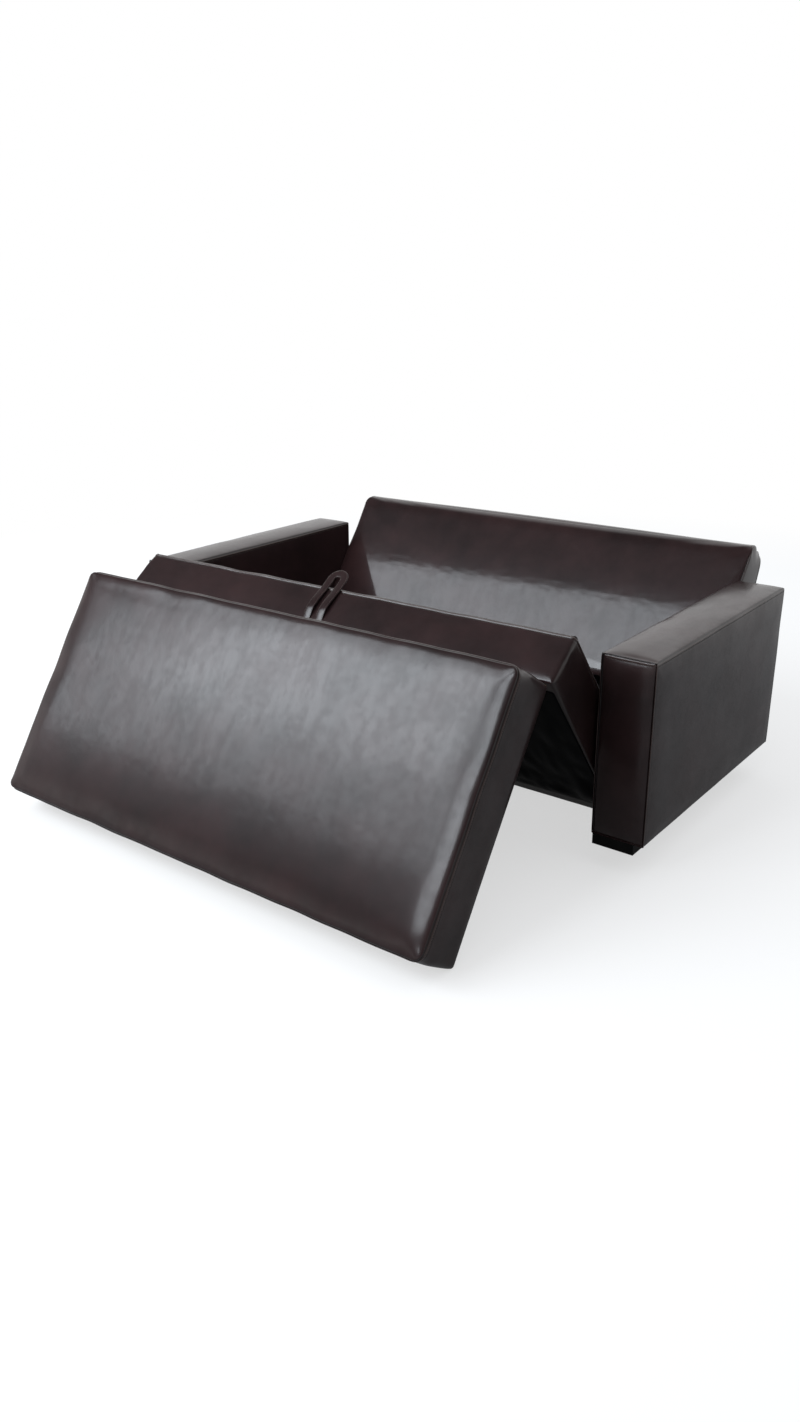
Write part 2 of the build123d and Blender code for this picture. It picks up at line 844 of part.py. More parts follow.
def still_pieces():
    """Arms, backrest, legs and everything else that stays where it is."""
    boards = block(base_x, base_y, (leg_height, arm_bottom))
    boards = cut_all(boards, [cutter for _, cutter in leg_screw_sets])
    legs = [cut_all(leg(y), [cutter]) for y, (_, cutter) in zip(leg_places, leg_screw_sets)]
    pads = [post(leg_pad_radius, leg_x, y, (0, leg_pad)) for y in leg_places]
    screws = [screw for screw, _ in leg_screw_sets]
    right = {"arm_cover": arm_cover(), "arm_padding": arm_padding(), "arm_frame": arm_frame()}
    nodes = {}
    for name, piece in right.items():
        nodes["right_" + name] = piece
        nodes["left_" + name] = mirrored(piece)
    nodes["base_boards"] = group(both_sides([boards]))
    nodes["sofa_legs"] = group(both_sides(legs))
    nodes["leg_pads"] = group(both_sides(pads))
    nodes["leg_screws"] = group(both_sides(screws))
    nodes["backrest_cover"] = backrest_cover()
    nodes["backrest_padding"] = backrest_padding()
    nodes["backrest_frame"] = backrest_frame()
    nodes["backrest_lining"] = backrest_lining()
    nodes["backrest_bolts"] = group(both_sides([bolt for bolt, _ in back_bolts]))
    nodes["rear_stretcher"] = block((-half_gap, half_gap), stretcher_y, stretcher_z)
    nodes["stretcher_brackets"] = group(both_sides([stretcher_bracket()]))
    nodes["slide_rails"] = group(both_sides([slide_rail()]))
    return nodes


def placed(nodes, place):
    return {name: place * piece for name, piece in nodes.items()}


bodies = {
    "sofa_frame": still_pieces(),
    "rear_section": placed(rear_section(), rear_place),
    "rear_hinge_rivets": placed({"rear_hinge_rivets": group(both_sides([rivet()]))}, rear_place),
    "middle_section": placed(middle_section(), middle_place),
    "front_hinge_pins": placed(
        {"front_hinge_pins": group([front_pin(x) for x in hinge_places])}, front_place),
    "front_section": placed(front_section(), front_place),
}

# The origin moves to the middle of the whole object's box, on the floor
everything = [piece for nodes in bodies.values() for piece in nodes.values()]
whole_box = Compound(children=[solid for piece in everything for solid in piece.solids()]).bounding_box()
origin_y = (whole_box.min.Y + whole_box.max.Y) / 2
to_origin = Pos(0, -origin_y, 0)

os.makedirs("parts", exist_ok=True)
for nodes in bodies.values():
    for name, piece in nodes.items():
        export_step(to_origin * piece, "parts/" + name + ".step")
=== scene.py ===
import json
from math import cos, pi, radians, sin

import bmesh
import bpy
import numpy as np
from mathutils import Matrix, Vector, noise


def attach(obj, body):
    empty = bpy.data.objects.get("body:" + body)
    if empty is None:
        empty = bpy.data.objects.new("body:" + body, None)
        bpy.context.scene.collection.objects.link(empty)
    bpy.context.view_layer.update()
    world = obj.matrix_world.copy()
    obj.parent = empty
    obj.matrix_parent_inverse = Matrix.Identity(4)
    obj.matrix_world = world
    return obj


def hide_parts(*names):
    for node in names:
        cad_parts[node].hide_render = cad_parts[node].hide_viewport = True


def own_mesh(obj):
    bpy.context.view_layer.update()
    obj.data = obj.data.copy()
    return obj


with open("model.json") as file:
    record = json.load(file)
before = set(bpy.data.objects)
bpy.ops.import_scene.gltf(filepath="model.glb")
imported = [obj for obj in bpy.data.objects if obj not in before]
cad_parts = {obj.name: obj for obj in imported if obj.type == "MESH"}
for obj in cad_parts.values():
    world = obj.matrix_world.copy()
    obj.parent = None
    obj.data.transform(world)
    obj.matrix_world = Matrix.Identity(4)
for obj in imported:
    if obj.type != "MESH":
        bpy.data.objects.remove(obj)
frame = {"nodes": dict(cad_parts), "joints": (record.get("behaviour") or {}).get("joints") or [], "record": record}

# A brown leather sofa bed caught half unfolded. Metres, floor at z = 0, sofa faces -Y.
nodes = frame["nodes"]
joints = {joint["name"]: joint for joint in frame["joints"]}
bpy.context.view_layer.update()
print("frame loaded:", len(nodes), "nodes")

# Each folding section is modelled lying flat about its own hinge axis, then turned into place
rearAxis = Vector(joints["unfold"]["pos_m"])
frontAxis = Vector(joints["front_fold_close"]["pos_m"])
middleLean = radians(joints["unfold"]["range_deg"][1])
frontLean = -radians(joints["front_fold_unfold"]["range_deg"][0]) - middleLean
rearPlace = Matrix.Translation(rearAxis)
middlePlace = rearPlace @ Matrix.Rotation(-middleLean, 4, "X")
frontPlace = Matrix.Translation(frontAxis) @ Matrix.Rotation(frontLean, 4, "X")
standing = Matrix.Identity(4)


def meshPoints(mesh):
    points = np.empty(len(mesh.vertices) * 3)
    mesh.vertices.foreach_get("co", points)
    return points.reshape(-1, 3)


def setMeshPoints(mesh, points):
    mesh.vertices.foreach_set("co", points.astype(np.float32).ravel())
    mesh.update()


def localBox(node, place):  # corners of a node in the frame of its own section
    back = np.array(place.inverted())
    points = meshPoints(nodes[node].data) @ back[:3, :3].T + back[:3, 3]
    return points.min(0), points.max(0)


def deselectAll():
    if bpy.context.mode != "OBJECT":
        bpy.ops.object.mode_set(mode="OBJECT")
    bpy.ops.object.select_all(action="DESELECT")


def makeActive(obj):
    deselectAll()
    obj.select_set(True)
    bpy.context.view_layer.objects.active = obj


def applyModifier(obj, kind, **values):
    makeActive(obj)
    modifier = obj.modifiers.new(kind.title(), kind)
    for key, value in values.items():
        setattr(modifier, key, value)
    bpy.ops.object.modifier_apply(modifier=modifier.name)


# Materials

def startMaterial(name):
    material = bpy.data.materials.new(name)
    material.use_nodes = True
    tree = material.node_tree
    shader = tree.nodes["Principled BSDF"]
    coords = tree.nodes.new("ShaderNodeTexCoord")
    return material, tree, shader, coords.outputs["Object"]


def addNode(tree, kind, inputs=None, **values):
    node = tree.nodes.new(kind)
    for key, value in values.items():
        setattr(node, key, value)
    for key, value in (inputs or {}).items():
        if isinstance(value, bpy.types.NodeSocket):
            tree.links.new(value, node.inputs[key])
        else:
            node.inputs[key].default_value = value
    return node


def noiseOf(tree, vector, scale, detail=3.0, rough=0.5):
    inputs = {"Vector": vector, "Scale": scale, "Detail": detail, "Roughness": rough}
    return addNode(tree, "ShaderNodeTexNoise", inputs).outputs["Fac"]


def rampOf(tree, factor, stops):
    ramp = addNode(tree, "ShaderNodeValToRGB", {"Fac": factor})
    while len(ramp.color_ramp.elements) < len(stops):
        ramp.color_ramp.elements.new(0.5)
    for element, (place, colour) in zip(ramp.color_ramp.elements, stops):
        element.position = place
        element.color = (*colour, 1)
    return ramp.outputs["Color"]


def cellsOf(tree, vector, scale):
    return addNode(tree, "ShaderNodeTexVoronoi", {"Vector": vector, "Scale": scale}).outputs["Distance"]


def stretchOf(tree, vector, scale):
    return addNode(tree, "ShaderNodeMapping", {"Vector": vector, "Scale": scale}).outputs["Vector"]


def mathOf(tree, operation, *values):
    return addNode(tree, "ShaderNodeMath", dict(enumerate(values)), operation=operation).outputs[0]


def mixOf(tree, factor, first, second, **values):  # of two colours
    inputs = {0: factor, 6: first, 7: second}
    return addNode(tree, "ShaderNodeMix", inputs, data_type="RGBA", **values).outputs[2]


def rangeOf(tree, value, low, high, fromLow=0.0, fromHigh=1.0):
    inputs = {"Value": value, "From Min": fromLow, "From Max": fromHigh, "To Min": low, "To Max": high}
    return addNode(tree, "ShaderNodeMapRange", inputs).outputs["Result"]


def bumpOf(tree, height, strength, distance, under=None):
    inputs = {"Height": height, "Strength": strength, "Distance": distance}
    if under is not None:
        inputs["Normal"] = under
    return addNode(tree, "ShaderNodeBump", inputs).outputs["Normal"]


def tintSpots(tree, shader, place, look):  # two tones in soft spots
    spots = noiseOf(tree, place, look["spotScale"], look["spotDetail"])
    stops = list(zip(look["spotRange"], (look["dark"], look["light"])))
    tree.links.new(rampOf(tree, spots, stops), shader.inputs["Base Color"])


def streakAlong(tree, shader, place, look):  # fibres or brush marks, in the relief and the gloss
    vector = stretchOf(tree, place, look["streakStretch"])
    streaks = noiseOf(tree, vector, look["streakScale"], look["streakDetail"])
    normal = bumpOf(tree, streaks, look["streakStrength"], look["streakDepth"])
    tree.links.new(normal, shader.inputs["Normal"])
    tree.links.new(rangeOf(tree, streaks, *look["roughness"]), shader.inputs["Roughness"])


leatherLook = {
    "dark": (0.0120, 0.0064, 0.0064),
    "light": (0.0240, 0.0120, 0.0120),
    # painted shade colour for the seam grooves and stitch lines
    "seam": (0.0040, 0.0028, 0.0026),
    # painted highlight colour for the seam ridges
    "ridgeHighlightColour": (0.0600, 0.0400, 0.0350),
    "ridgeHighlightShare": 0.7,
    "cloudScale": 5.5,
    "cloudRange": (0.32, 0.68),
    "mottleScale": 45,
    "mottleRange": (0.3, 0.7),
    "roughness": (0.29, 0.35),
    "specular": 0.17,
    "coat": (0.35, 0.52),
    "coatRoughness": (0.15, 0.17),
    "glossRange": (0.82, 1.18),
    "streakStretch": (30.0, 9.0, 9.0),
    "creaseScale": 42,
    "creaseDepth": 0.0004,
    "creaseStrength": 0.30,
    "grainScale": 520,
    "grainDepth": 0.00012,
    "grainStrength": 0.20,
    "poreShare": 0.45,  # of the grain's scale
    "poreStrength": 0.22,
}


def makeLeather(name="brownLeather", look=leatherLook):
    material, tree, shader, place = startMaterial(name)
    cloud = noiseOf(tree, place, look["cloudScale"], 4, 0.6)
    tone = rampOf(tree, cloud, list(zip(look["cloudRange"], (look["dark"], look["light"]))))
    # painted shade in the seam grooves and along the stitch lines
    seam = addNode(tree, "ShaderNodeAttribute", attribute_name="seamShade").outputs["Fac"]
    # a painted highlight along the seam ridges
    ridgeLight = addNode(tree, "ShaderNodeAttribute", attribute_name="paintedRidgeHighlight").outputs["Fac"]
    tone = mixOf(tree, rangeOf(tree, ridgeLight, 0, look["ridgeHighlightShare"]), tone, (*look["ridgeHighlightColour"], 1))
    tree.links.new(mixOf(tree, seam, tone, (*look["seam"], 1)), shader.inputs["Base Color"])
    shader.inputs["Specular IOR Level"].default_value = look["specular"]

    # where the mottling is dull the coat is dull too, and streaks add to it
    mottle = noiseOf(tree, place, look["mottleScale"], 3, 0.6)
    low, high = look["mottleRange"]
    tree.links.new(rangeOf(tree, mottle, *look["roughness"], low, high), shader.inputs["Roughness"])
    tree.links.new(rangeOf(tree, mottle, *look["coatRoughness"], high, low), shader.inputs["Coat Roughness"])
    streaks = noiseOf(tree, stretchOf(tree, place, look["streakStretch"]), 1.0)
    gloss = rangeOf(tree, mathOf(tree, "ADD", mottle, streaks), *look["coat"], *look["glossRange"])
    tree.links.new(gloss, shader.inputs["Coat Weight"])

    # creases show in the coat and below it, pores and grain only below it
    creases = noiseOf(tree, place, look["creaseScale"], 1.5)
    normal = bumpOf(tree, creases, look["creaseStrength"], look["creaseDepth"])
    tree.links.new(normal, shader.inputs["Coat Normal"])
    pores = noiseOf(tree, place, look["grainScale"] * look["poreShare"], 1)
    normal = bumpOf(tree, pores, look["poreStrength"], look["grainDepth"], normal)
    cells = addNode(
        tree, "ShaderNodeTexVoronoi", {"Vector": place, "Scale": look["grainScale"], "Smoothness": 0.6},
        feature="SMOOTH_F1").outputs["Distance"]
    normal = bumpOf(tree, cells, look["grainStrength"], look["grainDepth"], normal)
    tree.links.new(normal, shader.inputs["Normal"])
    return material


threadLook = {
    "dark": (0.05, 0.036, 0.03),
    "light": (0.12, 0.09, 0.075),
    "spotScale": 900,
    "spotDetail": 2,
    "spotRange": (0.3, 0.7),
    "roughness": 0.5,
}


def makeThread(look=threadLook):
    material, tree, shader, place = startMaterial("seamThread")
    tintSpots(tree, shader, place, look)
    shader.inputs["Roughness"].default_value = look["roughness"]
    return material


clothLook = {
    "dark": (0.0018, 0.0018, 0.0022),
    "light": (0.0045, 0.0045, 0.0055),
    "spotScale": 30,
    "spotDetail": 4,
    "spotRange": (0.3, 0.7),
    "weaveScale": 700,
    "weaveDepth": 0.0005,
    "weaveStrength": 0.25,
    "roughScale": 12,
    "roughness": (0.26, 0.36),
    "specular": 0.02,
}


def makeLining(look=clothLook):
    material, tree, shader, place = startMaterial("blackLining")
    tintSpots(tree, shader, place, look)
    weave = cellsOf(tree, place, look["weaveScale"])
    tree.links.new(bumpOf(tree, weave, look["weaveStrength"], look["weaveDepth"]), shader.inputs["Normal"])
    rough = noiseOf(tree, place, look["roughScale"])
    tree.links.new(rangeOf(tree, rough, *look["roughness"]), shader.inputs["Roughness"])
    shader.inputs["Specular IOR Level"].default_value = look["specular"]
    return material


foamLook = {
    "dark": (0.62, 0.55, 0.36),
    "light": (0.78, 0.72, 0.52),
    "spotScale": 40,
    "spotDetail": 4,
    "spotRange": (0.3, 0.7),
    "cellScale": 480,
    "cellDepth": 0.0012,
    "cellStrength": 0.5,
    "roughness": 0.95,
}


def makeFoam(look=foamLook):
    material, tree, shader, place = startMaterial("paddingFoam")
    tintSpots(tree, shader, place, look)
    cells = cellsOf(tree, place, look["cellScale"])
    tree.links.new(bumpOf(tree, cells, look["cellStrength"], look["cellDepth"]), shader.inputs["Normal"])
    shader.inputs["Roughness"].default_value = look["roughness"]
    return material


timberLook = {
    "dark": (0.36, 0.22, 0.11),
    "light": (0.56, 0.38, 0.21),
    "ringStretch": (2.0, 14.0, 14.0),
    "ringScale": 1.6,
    "ringRange": (0.1, 0.9),
    "ringWarp": 5.0,
    "streakStretch": (30.0, 400.0, 400.0),
    "streakScale": 1.0,
    "streakDetail": 4,
    "streakDepth": 0.0006,
    "streakStrength": 0.3,
    "roughness": (0.55, 0.75),
}


def makeTimber(look=timberLook):
    material, tree, shader, place = startMaterial("frameTimber")
    inputs = {"Vector": stretchOf(tree, place, look["ringStretch"]), "Scale": look["ringScale"],
              "Distortion": look["ringWarp"], "Detail": 3.0}
    rings = addNode(tree, "ShaderNodeTexWave", inputs, bands_direction="Y").outputs["Fac"]
    tone = rampOf(tree, rings, list(zip(look["ringRange"], (look["dark"], look["light"]))))
    tree.links.new(tone, shader.inputs["Base Color"])
    streakAlong(tree, shader, place, look)
    return material


boardLook = {
    "dark": (0.003, 0.003, 0.003),
    "light": (0.007, 0.0065, 0.006),
    "spotScale": 18,
    "spotDetail": 5,
    "spotRange": (0.35, 0.7),
    "streakStretch": (60.0, 8.0, 60.0),
    "streakScale": 6.0,
    "streakDetail": 4,
    "streakDepth": 0.0006,
    "streakStrength": 0.25,
    "roughness": (0.45, 0.65),
    "specular": 0.1,
}


def makeBlackBoard(look=boardLook):
    material, tree, shader, place = startMaterial("blackBoard")
    tintSpots(tree, shader, place, look)
    streakAlong(tree, shader, place, look)
    shader.inputs["Specular IOR Level"].default_value = look["specular"]
    return material


plasticLook = {
    "dark": (0.008, 0.008, 0.009),
    "light": (0.016, 0.016, 0.017),
    "spotScale": 60,
    "spotDetail": 3,
    "spotRange": (0.3, 0.7),
    "grainScale": 1400,
    "grainDepth": 0.0002,
    "grainStrength": 0.12,
    "roughScale": 35,
    "roughness": (0.4, 0.55),
}


def makePlastic(look=plasticLook):
    material, tree, shader, place = startMaterial("blackPlastic")
    tintSpots(tree, shader, place, look)
    grain = noiseOf(tree, place, look["grainScale"], 2)
    tree.links.new(bumpOf(tree, grain, look["grainStrength"], look["grainDepth"]), shader.inputs["Normal"])
    rough = noiseOf(tree, place, look["roughScale"])
    tree.links.new(rangeOf(tree, rough, *look["roughness"]), shader.inputs["Roughness"])
    return material


zincLook = {
    "dark": (0.36, 0.37, 0.38),
    "light": (0.58, 0.58, 0.57),
    "spotScale": 45,
    "spotDetail": 5,
    "spotRange": (0.3, 0.75),
    "streakStretch": (120.0, 900.0, 900.0),
    "streakScale": 1.0,
    "streakDetail": 3,
    "streakDepth": 0.0002,
    "streakStrength": 0.1,
    "metallic": 1.0,
    "roughness": (0.28, 0.42),
}
paintLook = dict(zincLook, dark=(0.010, 0.010, 0.011), light=(0.022, 0.022, 0.023), metallic=0.0,
                 roughness=(0.32, 0.48))


def makeSteel(name, look):
    material, tree, shader, place = startMaterial(name)
    tintSpots(tree, shader, place, look)
    streakAlong(tree, shader, place, look)
    shader.inputs["Metallic"].default_value = look["metallic"]
    return material


leather = makeLeather()
tautLeather = makeLeather("tautLeather", dict(  # stretched over the backrest, smoother and glossier
    leatherLook, specular=0.08, coat=(0.68, 0.80), coatRoughness=(0.06, 0.09), creaseDepth=0.00005,
    grainDepth=0.00003))
thread = makeThread()
finishes = {
    "black_lining": makeLining(),
    "foam": makeFoam(),
    "timber": makeTimber(),
    "black_board": makeBlackBoard(),
    "black_plastic": makePlastic(),
    "painted_steel": makeSteel("paintedSteel", paintLook),
    "zinc_steel": makeSteel("zincSteel", zincLook),
    "brown_leather": leather,
}


def dress(obj, material):
    obj.data.materials.clear()
    obj.data.materials.append(material)


for part in frame["record"]["subparts"]:
    dress(nodes[part["node"]], finishes[part["material_slot"]])
print("materials made:", len(finishes) + 2)  # with the taut leather and the thread


# Upholstery. A padded piece is a box of six panels, sewn at some of its edges.
# Its three directions are x, a and b. The a and b directions span its end outline.

def gridPlaces(length, spacing, edgeSteps):  # fine steps at both ends, even steps between
    fine = np.cumsum(edgeSteps)
    inner = length - 2 * fine[-1]
    count = max(2, round(inner / spacing))
    even = fine[-1] + inner * np.arange(1, count) / count
    places = np.concatenate([[0], fine, even, length - fine[::-1], [length]])
    if len(places) % 2 == 0:  # an even number of steps can be cut in two halves
        places = np.insert(places, len(fine) + 1, (places[len(fine)] + places[len(fine) + 1]) / 2)
    return places


def cutAlong(obj, axis, steps):  # cuts all edges along one axis into equal steps
    for cuts in (1, steps // 2 - 1):
        bpy.ops.mesh.select_mode(type="EDGE")
        bpy.ops.mesh.select_all(action="DESELECT")
        edit = bmesh.from_edit_mesh(obj.data)
        for edge in edit.edges:
            way = edge.verts[1].co - edge.verts[0].co
            if abs(way[axis]) > 0.9 * way.length:
                edge.select_set(True)
        bmesh.update_edit_mesh(obj.data)
        if cuts:
            bpy.ops.mesh.subdivide(number_cuts=cuts)


def addPanelBox(name, lengths, look):
    places = [gridPlaces(length, look["grid"], look["edgeSteps"]) for length in lengths]
    deselectAll()
    bpy.ops.mesh.primitive_cube_add(size=1, location=(0.5, 0.5, 0.5))
    obj = bpy.context.object
    obj.name = obj.data.name = name
    bpy.ops.object.transform_apply(location=True, rotation=True, scale=True)
    bpy.ops.object.mode_set(mode="EDIT")
    for axis in range(3):
        cutAlong(obj, axis, len(places[axis]) - 1)
    bpy.ops.object.mode_set(mode="OBJECT")
    unit = meshPoints(obj.data)
    rest = np.empty_like(unit)
    for axis in range(3):
        index = np.rint(unit[:, axis] * (len(places[axis]) - 1)).astype(int)
        rest[:, axis] = places[axis][index]
    attribute = obj.data.attributes.new("rest", "FLOAT_VECTOR", "POINT")
    attribute.data.foreach_set("vector", rest.astype(np.float32).ravel())
    return obj, rest


def readRest(obj):
    rest = np.empty(len(obj.data.vertices) * 3, np.float32)
    obj.data.attributes["rest"].data.foreach_get("vector", rest)
    return rest.reshape(-1, 3).astype(float)


shoulderBend = 2.2  # higher is fuller
sameSpot = 1e-5  # closer than this is the same place
sameLine = 2e-4  # closer than this is the same line of the grid


def shoulder(distance, width, steep):  # 0 at a sewn edge, 1 from width inwards
    share = np.clip(distance / width, 0, 1)
    return (1 - (1 - share) ** shoulderBend) ** (1 / steep)


def hump(share):
    return 4 * share * (1 - share)


def roundCorner(rest, lengths, first, second, firstEnd, secondEnd, radius, stretch=1.0):
    # turns the square edge between two panels into a round one, radius is one value or one per point
    a = np.abs(rest[:, first] - firstEnd * lengths[first]) / stretch
    b = np.abs(rest[:, second] - secondEnd * lengths[second])
    near = (a < radius) & (b < radius)
    away = np.hypot(a - radius, b - radius)
    away[away == 0] = 1
    newA = np.where(near, radius + radius * (a - radius) / away, a) * stretch
    newB = np.where(near, radius + radius * (b - radius) / away, b)
    out = rest.copy()
    out[:, first] = np.where(firstEnd, lengths[first] - newA, newA)
    out[:, second] = np.where(secondEnd, lengths[second] - newB, newB)
    return out


def shapePanels(rest, lengths, outline, left, panels, rounds):
    # outline: four corners (y, z) in the order low a low b, high a low b, high a high b, low a high b
    placed = rest
    for rounded in rounds:
        placed = roundCorner(placed, lengths, *rounded)
    share = placed / np.array(lengths)
    corner = np.array(outline, float)
    a, b = share[:, 1:2], share[:, 2:3]
    flat = (corner[0] * (1 - a) + corner[1] * a) * (1 - b) + (corner[3] * (1 - a) + corner[2] * a) * b
    points = np.column_stack([left + placed[:, 0], flat])
    free = rest / np.array(lengths)
    for (axis, end), (rise, width, crown, steep) in panels.items():
        others = [other for other in range(3) if other != axis]
        on = np.abs(free[:, axis] - end) < sameSpot
        swell = np.full(len(rest), rise)
        slow = np.full(len(rest), crown)
        for other in others:
            distance = np.minimum(rest[:, other], lengths[other] - rest[:, other])
            swell = swell * shoulder(distance, width, steep)
            slow = slow * hump(free[:, other])
        points[on] += panelNormal(corner, axis, end) * (swell + slow)[on][:, None]
    return points


def pushOut(obj, amounts):
    setMeshPoints(obj.data, meshPoints(obj.data) + vertexNormals(obj.data) * amounts[:, None])


def panelNormal(corner, axis, end):
    if axis == 0:
        return np.array([2.0 * end - 1, 0, 0])
    pair = {(1, 0): (3, 0), (1, 1): (1, 2), (2, 0): (0, 1), (2, 1): (2, 3)}[(axis, end)]
    way = corner[pair[1]] - corner[pair[0]]
    normal = np.array([0, way[1], -way[0]])
    return normal / np.linalg.norm(normal)


def edgeDistance(rest, lengths, edge):  # along the leather, from one sewn edge
    first, firstEnd, second, secondEnd = edge
    return np.hypot(
        rest[:, first] - firstEnd * lengths[first], rest[:, second] - secondEnd * lengths[second])


def inflate(obj, rest, lengths, seams, look):
    # a short cloth run with air inside, held at its seams and underneath
    start = meshPoints(obj.data)
    nearest = np.min([edgeDistance(rest, lengths, seam) for seam in seams], axis=0)
    hold = np.clip(1 - (nearest - look["holdNear"]) / look["holdFade"], 0, 1)
    heldAxis, heldEnd = look["heldPanel"]
    hold[rest[:, heldAxis] == heldEnd * lengths[heldAxis]] = 1
    group = obj.vertex_groups.new(name="held")
    for level in np.unique(np.round(hold, 2)):
        if level > 0:
            members = np.flatnonzero(np.round(hold, 2) == level).tolist()
            group.add(members, float(level), "REPLACE")
    makeActive(obj)
    cloth = obj.modifiers.new("Cloth", "CLOTH")
    settings = cloth.settings
    settings.quality = look["quality"]
    settings.mass = look["mass"]
    settings.tension_stiffness = look["stiffness"]
    settings.compression_stiffness = look["stiffness"]
    settings.shear_stiffness = look["stiffness"] / 2
    settings.bending_stiffness = look["bending"]
    settings.vertex_group_mass = "held"
    settings.use_pressure = True
    settings.uniform_pressure_force = look["pressure"]
    settings.shrink_min = -look["ease"]
    settings.effector_weights.gravity = 0
    cloth.collision_settings.use_collision = False
    for number in range(1, look["frames"] + 1):
        bpy.context.scene.frame_set(number)
    bpy.ops.object.modifier_apply(modifier=cloth.name)
    bpy.context.scene.frame_set(1)
    move = meshPoints(obj.data) - start
    length = np.linalg.norm(move, axis=1)
    print("  ", obj.name, "swelled by", round(float(length.max()) * 1000, 1), "mm")
    factor = look["cap"] / (look["cap"] + length)  # a soft cap, never reached
    setMeshPoints(obj.data, start + move * factor[:, None])
    obj.vertex_groups.clear()


def vertexNormals(mesh):
    normals = np.empty(len(mesh.vertices) * 3, np.float32)
    mesh.vertex_normals.foreach_get("vector", normals)
    return normals.reshape(-1, 3).astype(float)


def waves(rest, layers):  # smooth unevenness of leather over foam, from noise along the leather
    total = np.zeros(len(rest))
    for height, size, stretch, seed in layers:
        scale = [1 / (size * way) for way in stretch]
        total += height * np.array([
            noise.noise(Vector((p[0] * scale[0] + seed, p[1] * scale[1], p[2] * scale[2]))) for p in rest])
    return total


def seamNoise(along, length, seed):  # one value per point, smooth along the seams
    return np.array([noise.noise(Vector((place / length, seed, 0))) for place in along])


def sewPanels(obj, lengths, seams, look):
    # a groove on each seam, a folded ridge and a stitch line beside it, puckers, then slow unevenness
    rest = readRest(obj)
    points = meshPoints(obj.data)
    normals = vertexNormals(obj.data)
    nearest = np.full(len(rest), 1.0)
    along, force, beside = np.zeros(len(rest)), np.zeros(len(rest)), np.zeros(len(rest), bool)
    for seam, strength in seams.items():
        distance = edgeDistance(rest, lengths, seam)
        third = ({0, 1, 2} - {seam[0], seam[2]}).pop()
        closer = distance < nearest
        nearest = np.where(closer, distance, nearest)
        along = np.where(closer, rest[:, third], along)
        force = np.where(closer, strength, force)
        besideSeam = np.abs(rest[:, seam[0]] - seam[1] * lengths[seam[0]]) < sameSpot
        beside = np.where(closer, besideSeam, beside)
    groove = force * np.exp(-(nearest / look["grooveWidth"]) ** 2)
    ridge = force * beside * np.exp(-((nearest - look["ridgeAway"]) / look["ridgeWidth"]) ** 2)
    line = force * beside * np.exp(-((nearest - look["stitchAway"]) / look["stitchWidth"]) ** 2)
    pucker = force * np.exp(-nearest / look["puckerReach"]) * (nearest > look["ridgeAway"])
    push = look["ridge"] * ridge - look["groove"] * groove - look["stitchDip"] * line
    push += look["pucker"] * pucker * seamNoise(along, look["puckerLength"], look["puckerSeed"])
    softAxis, softEnd = look["softPanel"]
    softness = np.where(rest[:, softAxis] == softEnd * lengths[softAxis], 1, look["firmShare"])
    push += waves(rest, look["waves"]) * np.clip(nearest / look["wavesFrom"], 0, 1) * softness
    wander = seamNoise(along, look["wanderLength"], look["wanderSeed"])
    push += look["wander"] * wander * np.exp(-nearest / look["wanderReach"])
    setMeshPoints(obj.data, points + normals * push[:, None])
    # the groove and the stitch line are painted darker, painted shade
    shade = obj.data.attributes.new("seamShade", "FLOAT", "POINT")
    dark = np.clip(groove + look["lineShade"] * line, 0, 1)
    shade.data.foreach_set("value", dark.astype(np.float32))
    # the ridge gets a painted highlight, in lighter brown
    ridgeLight = obj.data.attributes.new("paintedRidgeHighlight", "FLOAT", "POINT")
    ridgeLight.data.foreach_set("value", np.clip(ridge, 0, 1).astype(np.float32))


stitchLook = {"pitch": 0.0062, "length": 0.0046, "radius": 0.0005, "sunk": 0.0001, "offEnds": 0.012}


def pointAt(steps, points, place):  # on a line of points, place is measured along it
    return [np.interp(place, steps, points[:, axis]) for axis in range(3)]


def lineSteps(points):
    return np.concatenate([[0], np.cumsum(np.linalg.norm(np.diff(points, axis=0), axis=1))])


def stitchRow(obj, fixed, along, look=stitchLook):
    # points of the finished leather along one line of its grid, as evenly spaced stitches
    rest = readRest(obj)
    mask = np.ones(len(rest), bool)
    for axis, value in fixed:
        mask &= np.abs(rest[:, axis] - value) < sameLine
    index = np.flatnonzero(mask)
    index = index[np.argsort(rest[index, along])]
    points, normals = meshPoints(obj.data)[index], vertexNormals(obj.data)[index]
    steps = lineSteps(points)
    count = int((steps[-1] - 2 * look["offEnds"]) / look["pitch"])
    row = []
    for number in range(count):
        middle = look["offEnds"] + look["pitch"] * (number + 0.5)
        ends = [pointAt(steps, points, middle + side * look["length"] / 2) for side in (-1, 1)]
        row.append((Vector(ends[0]), Vector(ends[1]), Vector(pointAt(steps, normals, middle))))
    return row


def topStitches(obj, lengths, look):  # along the four seams round the top panel
    down = lengths[2] - sum(look["edgeSteps"][:3])
    rows = []
    for end in (0, 1):
        rows += stitchRow(obj, [(0, end * lengths[0]), (2, down)], 1)
        rows += stitchRow(obj, [(1, end * lengths[1]), (2, down)], 0)
    return rows


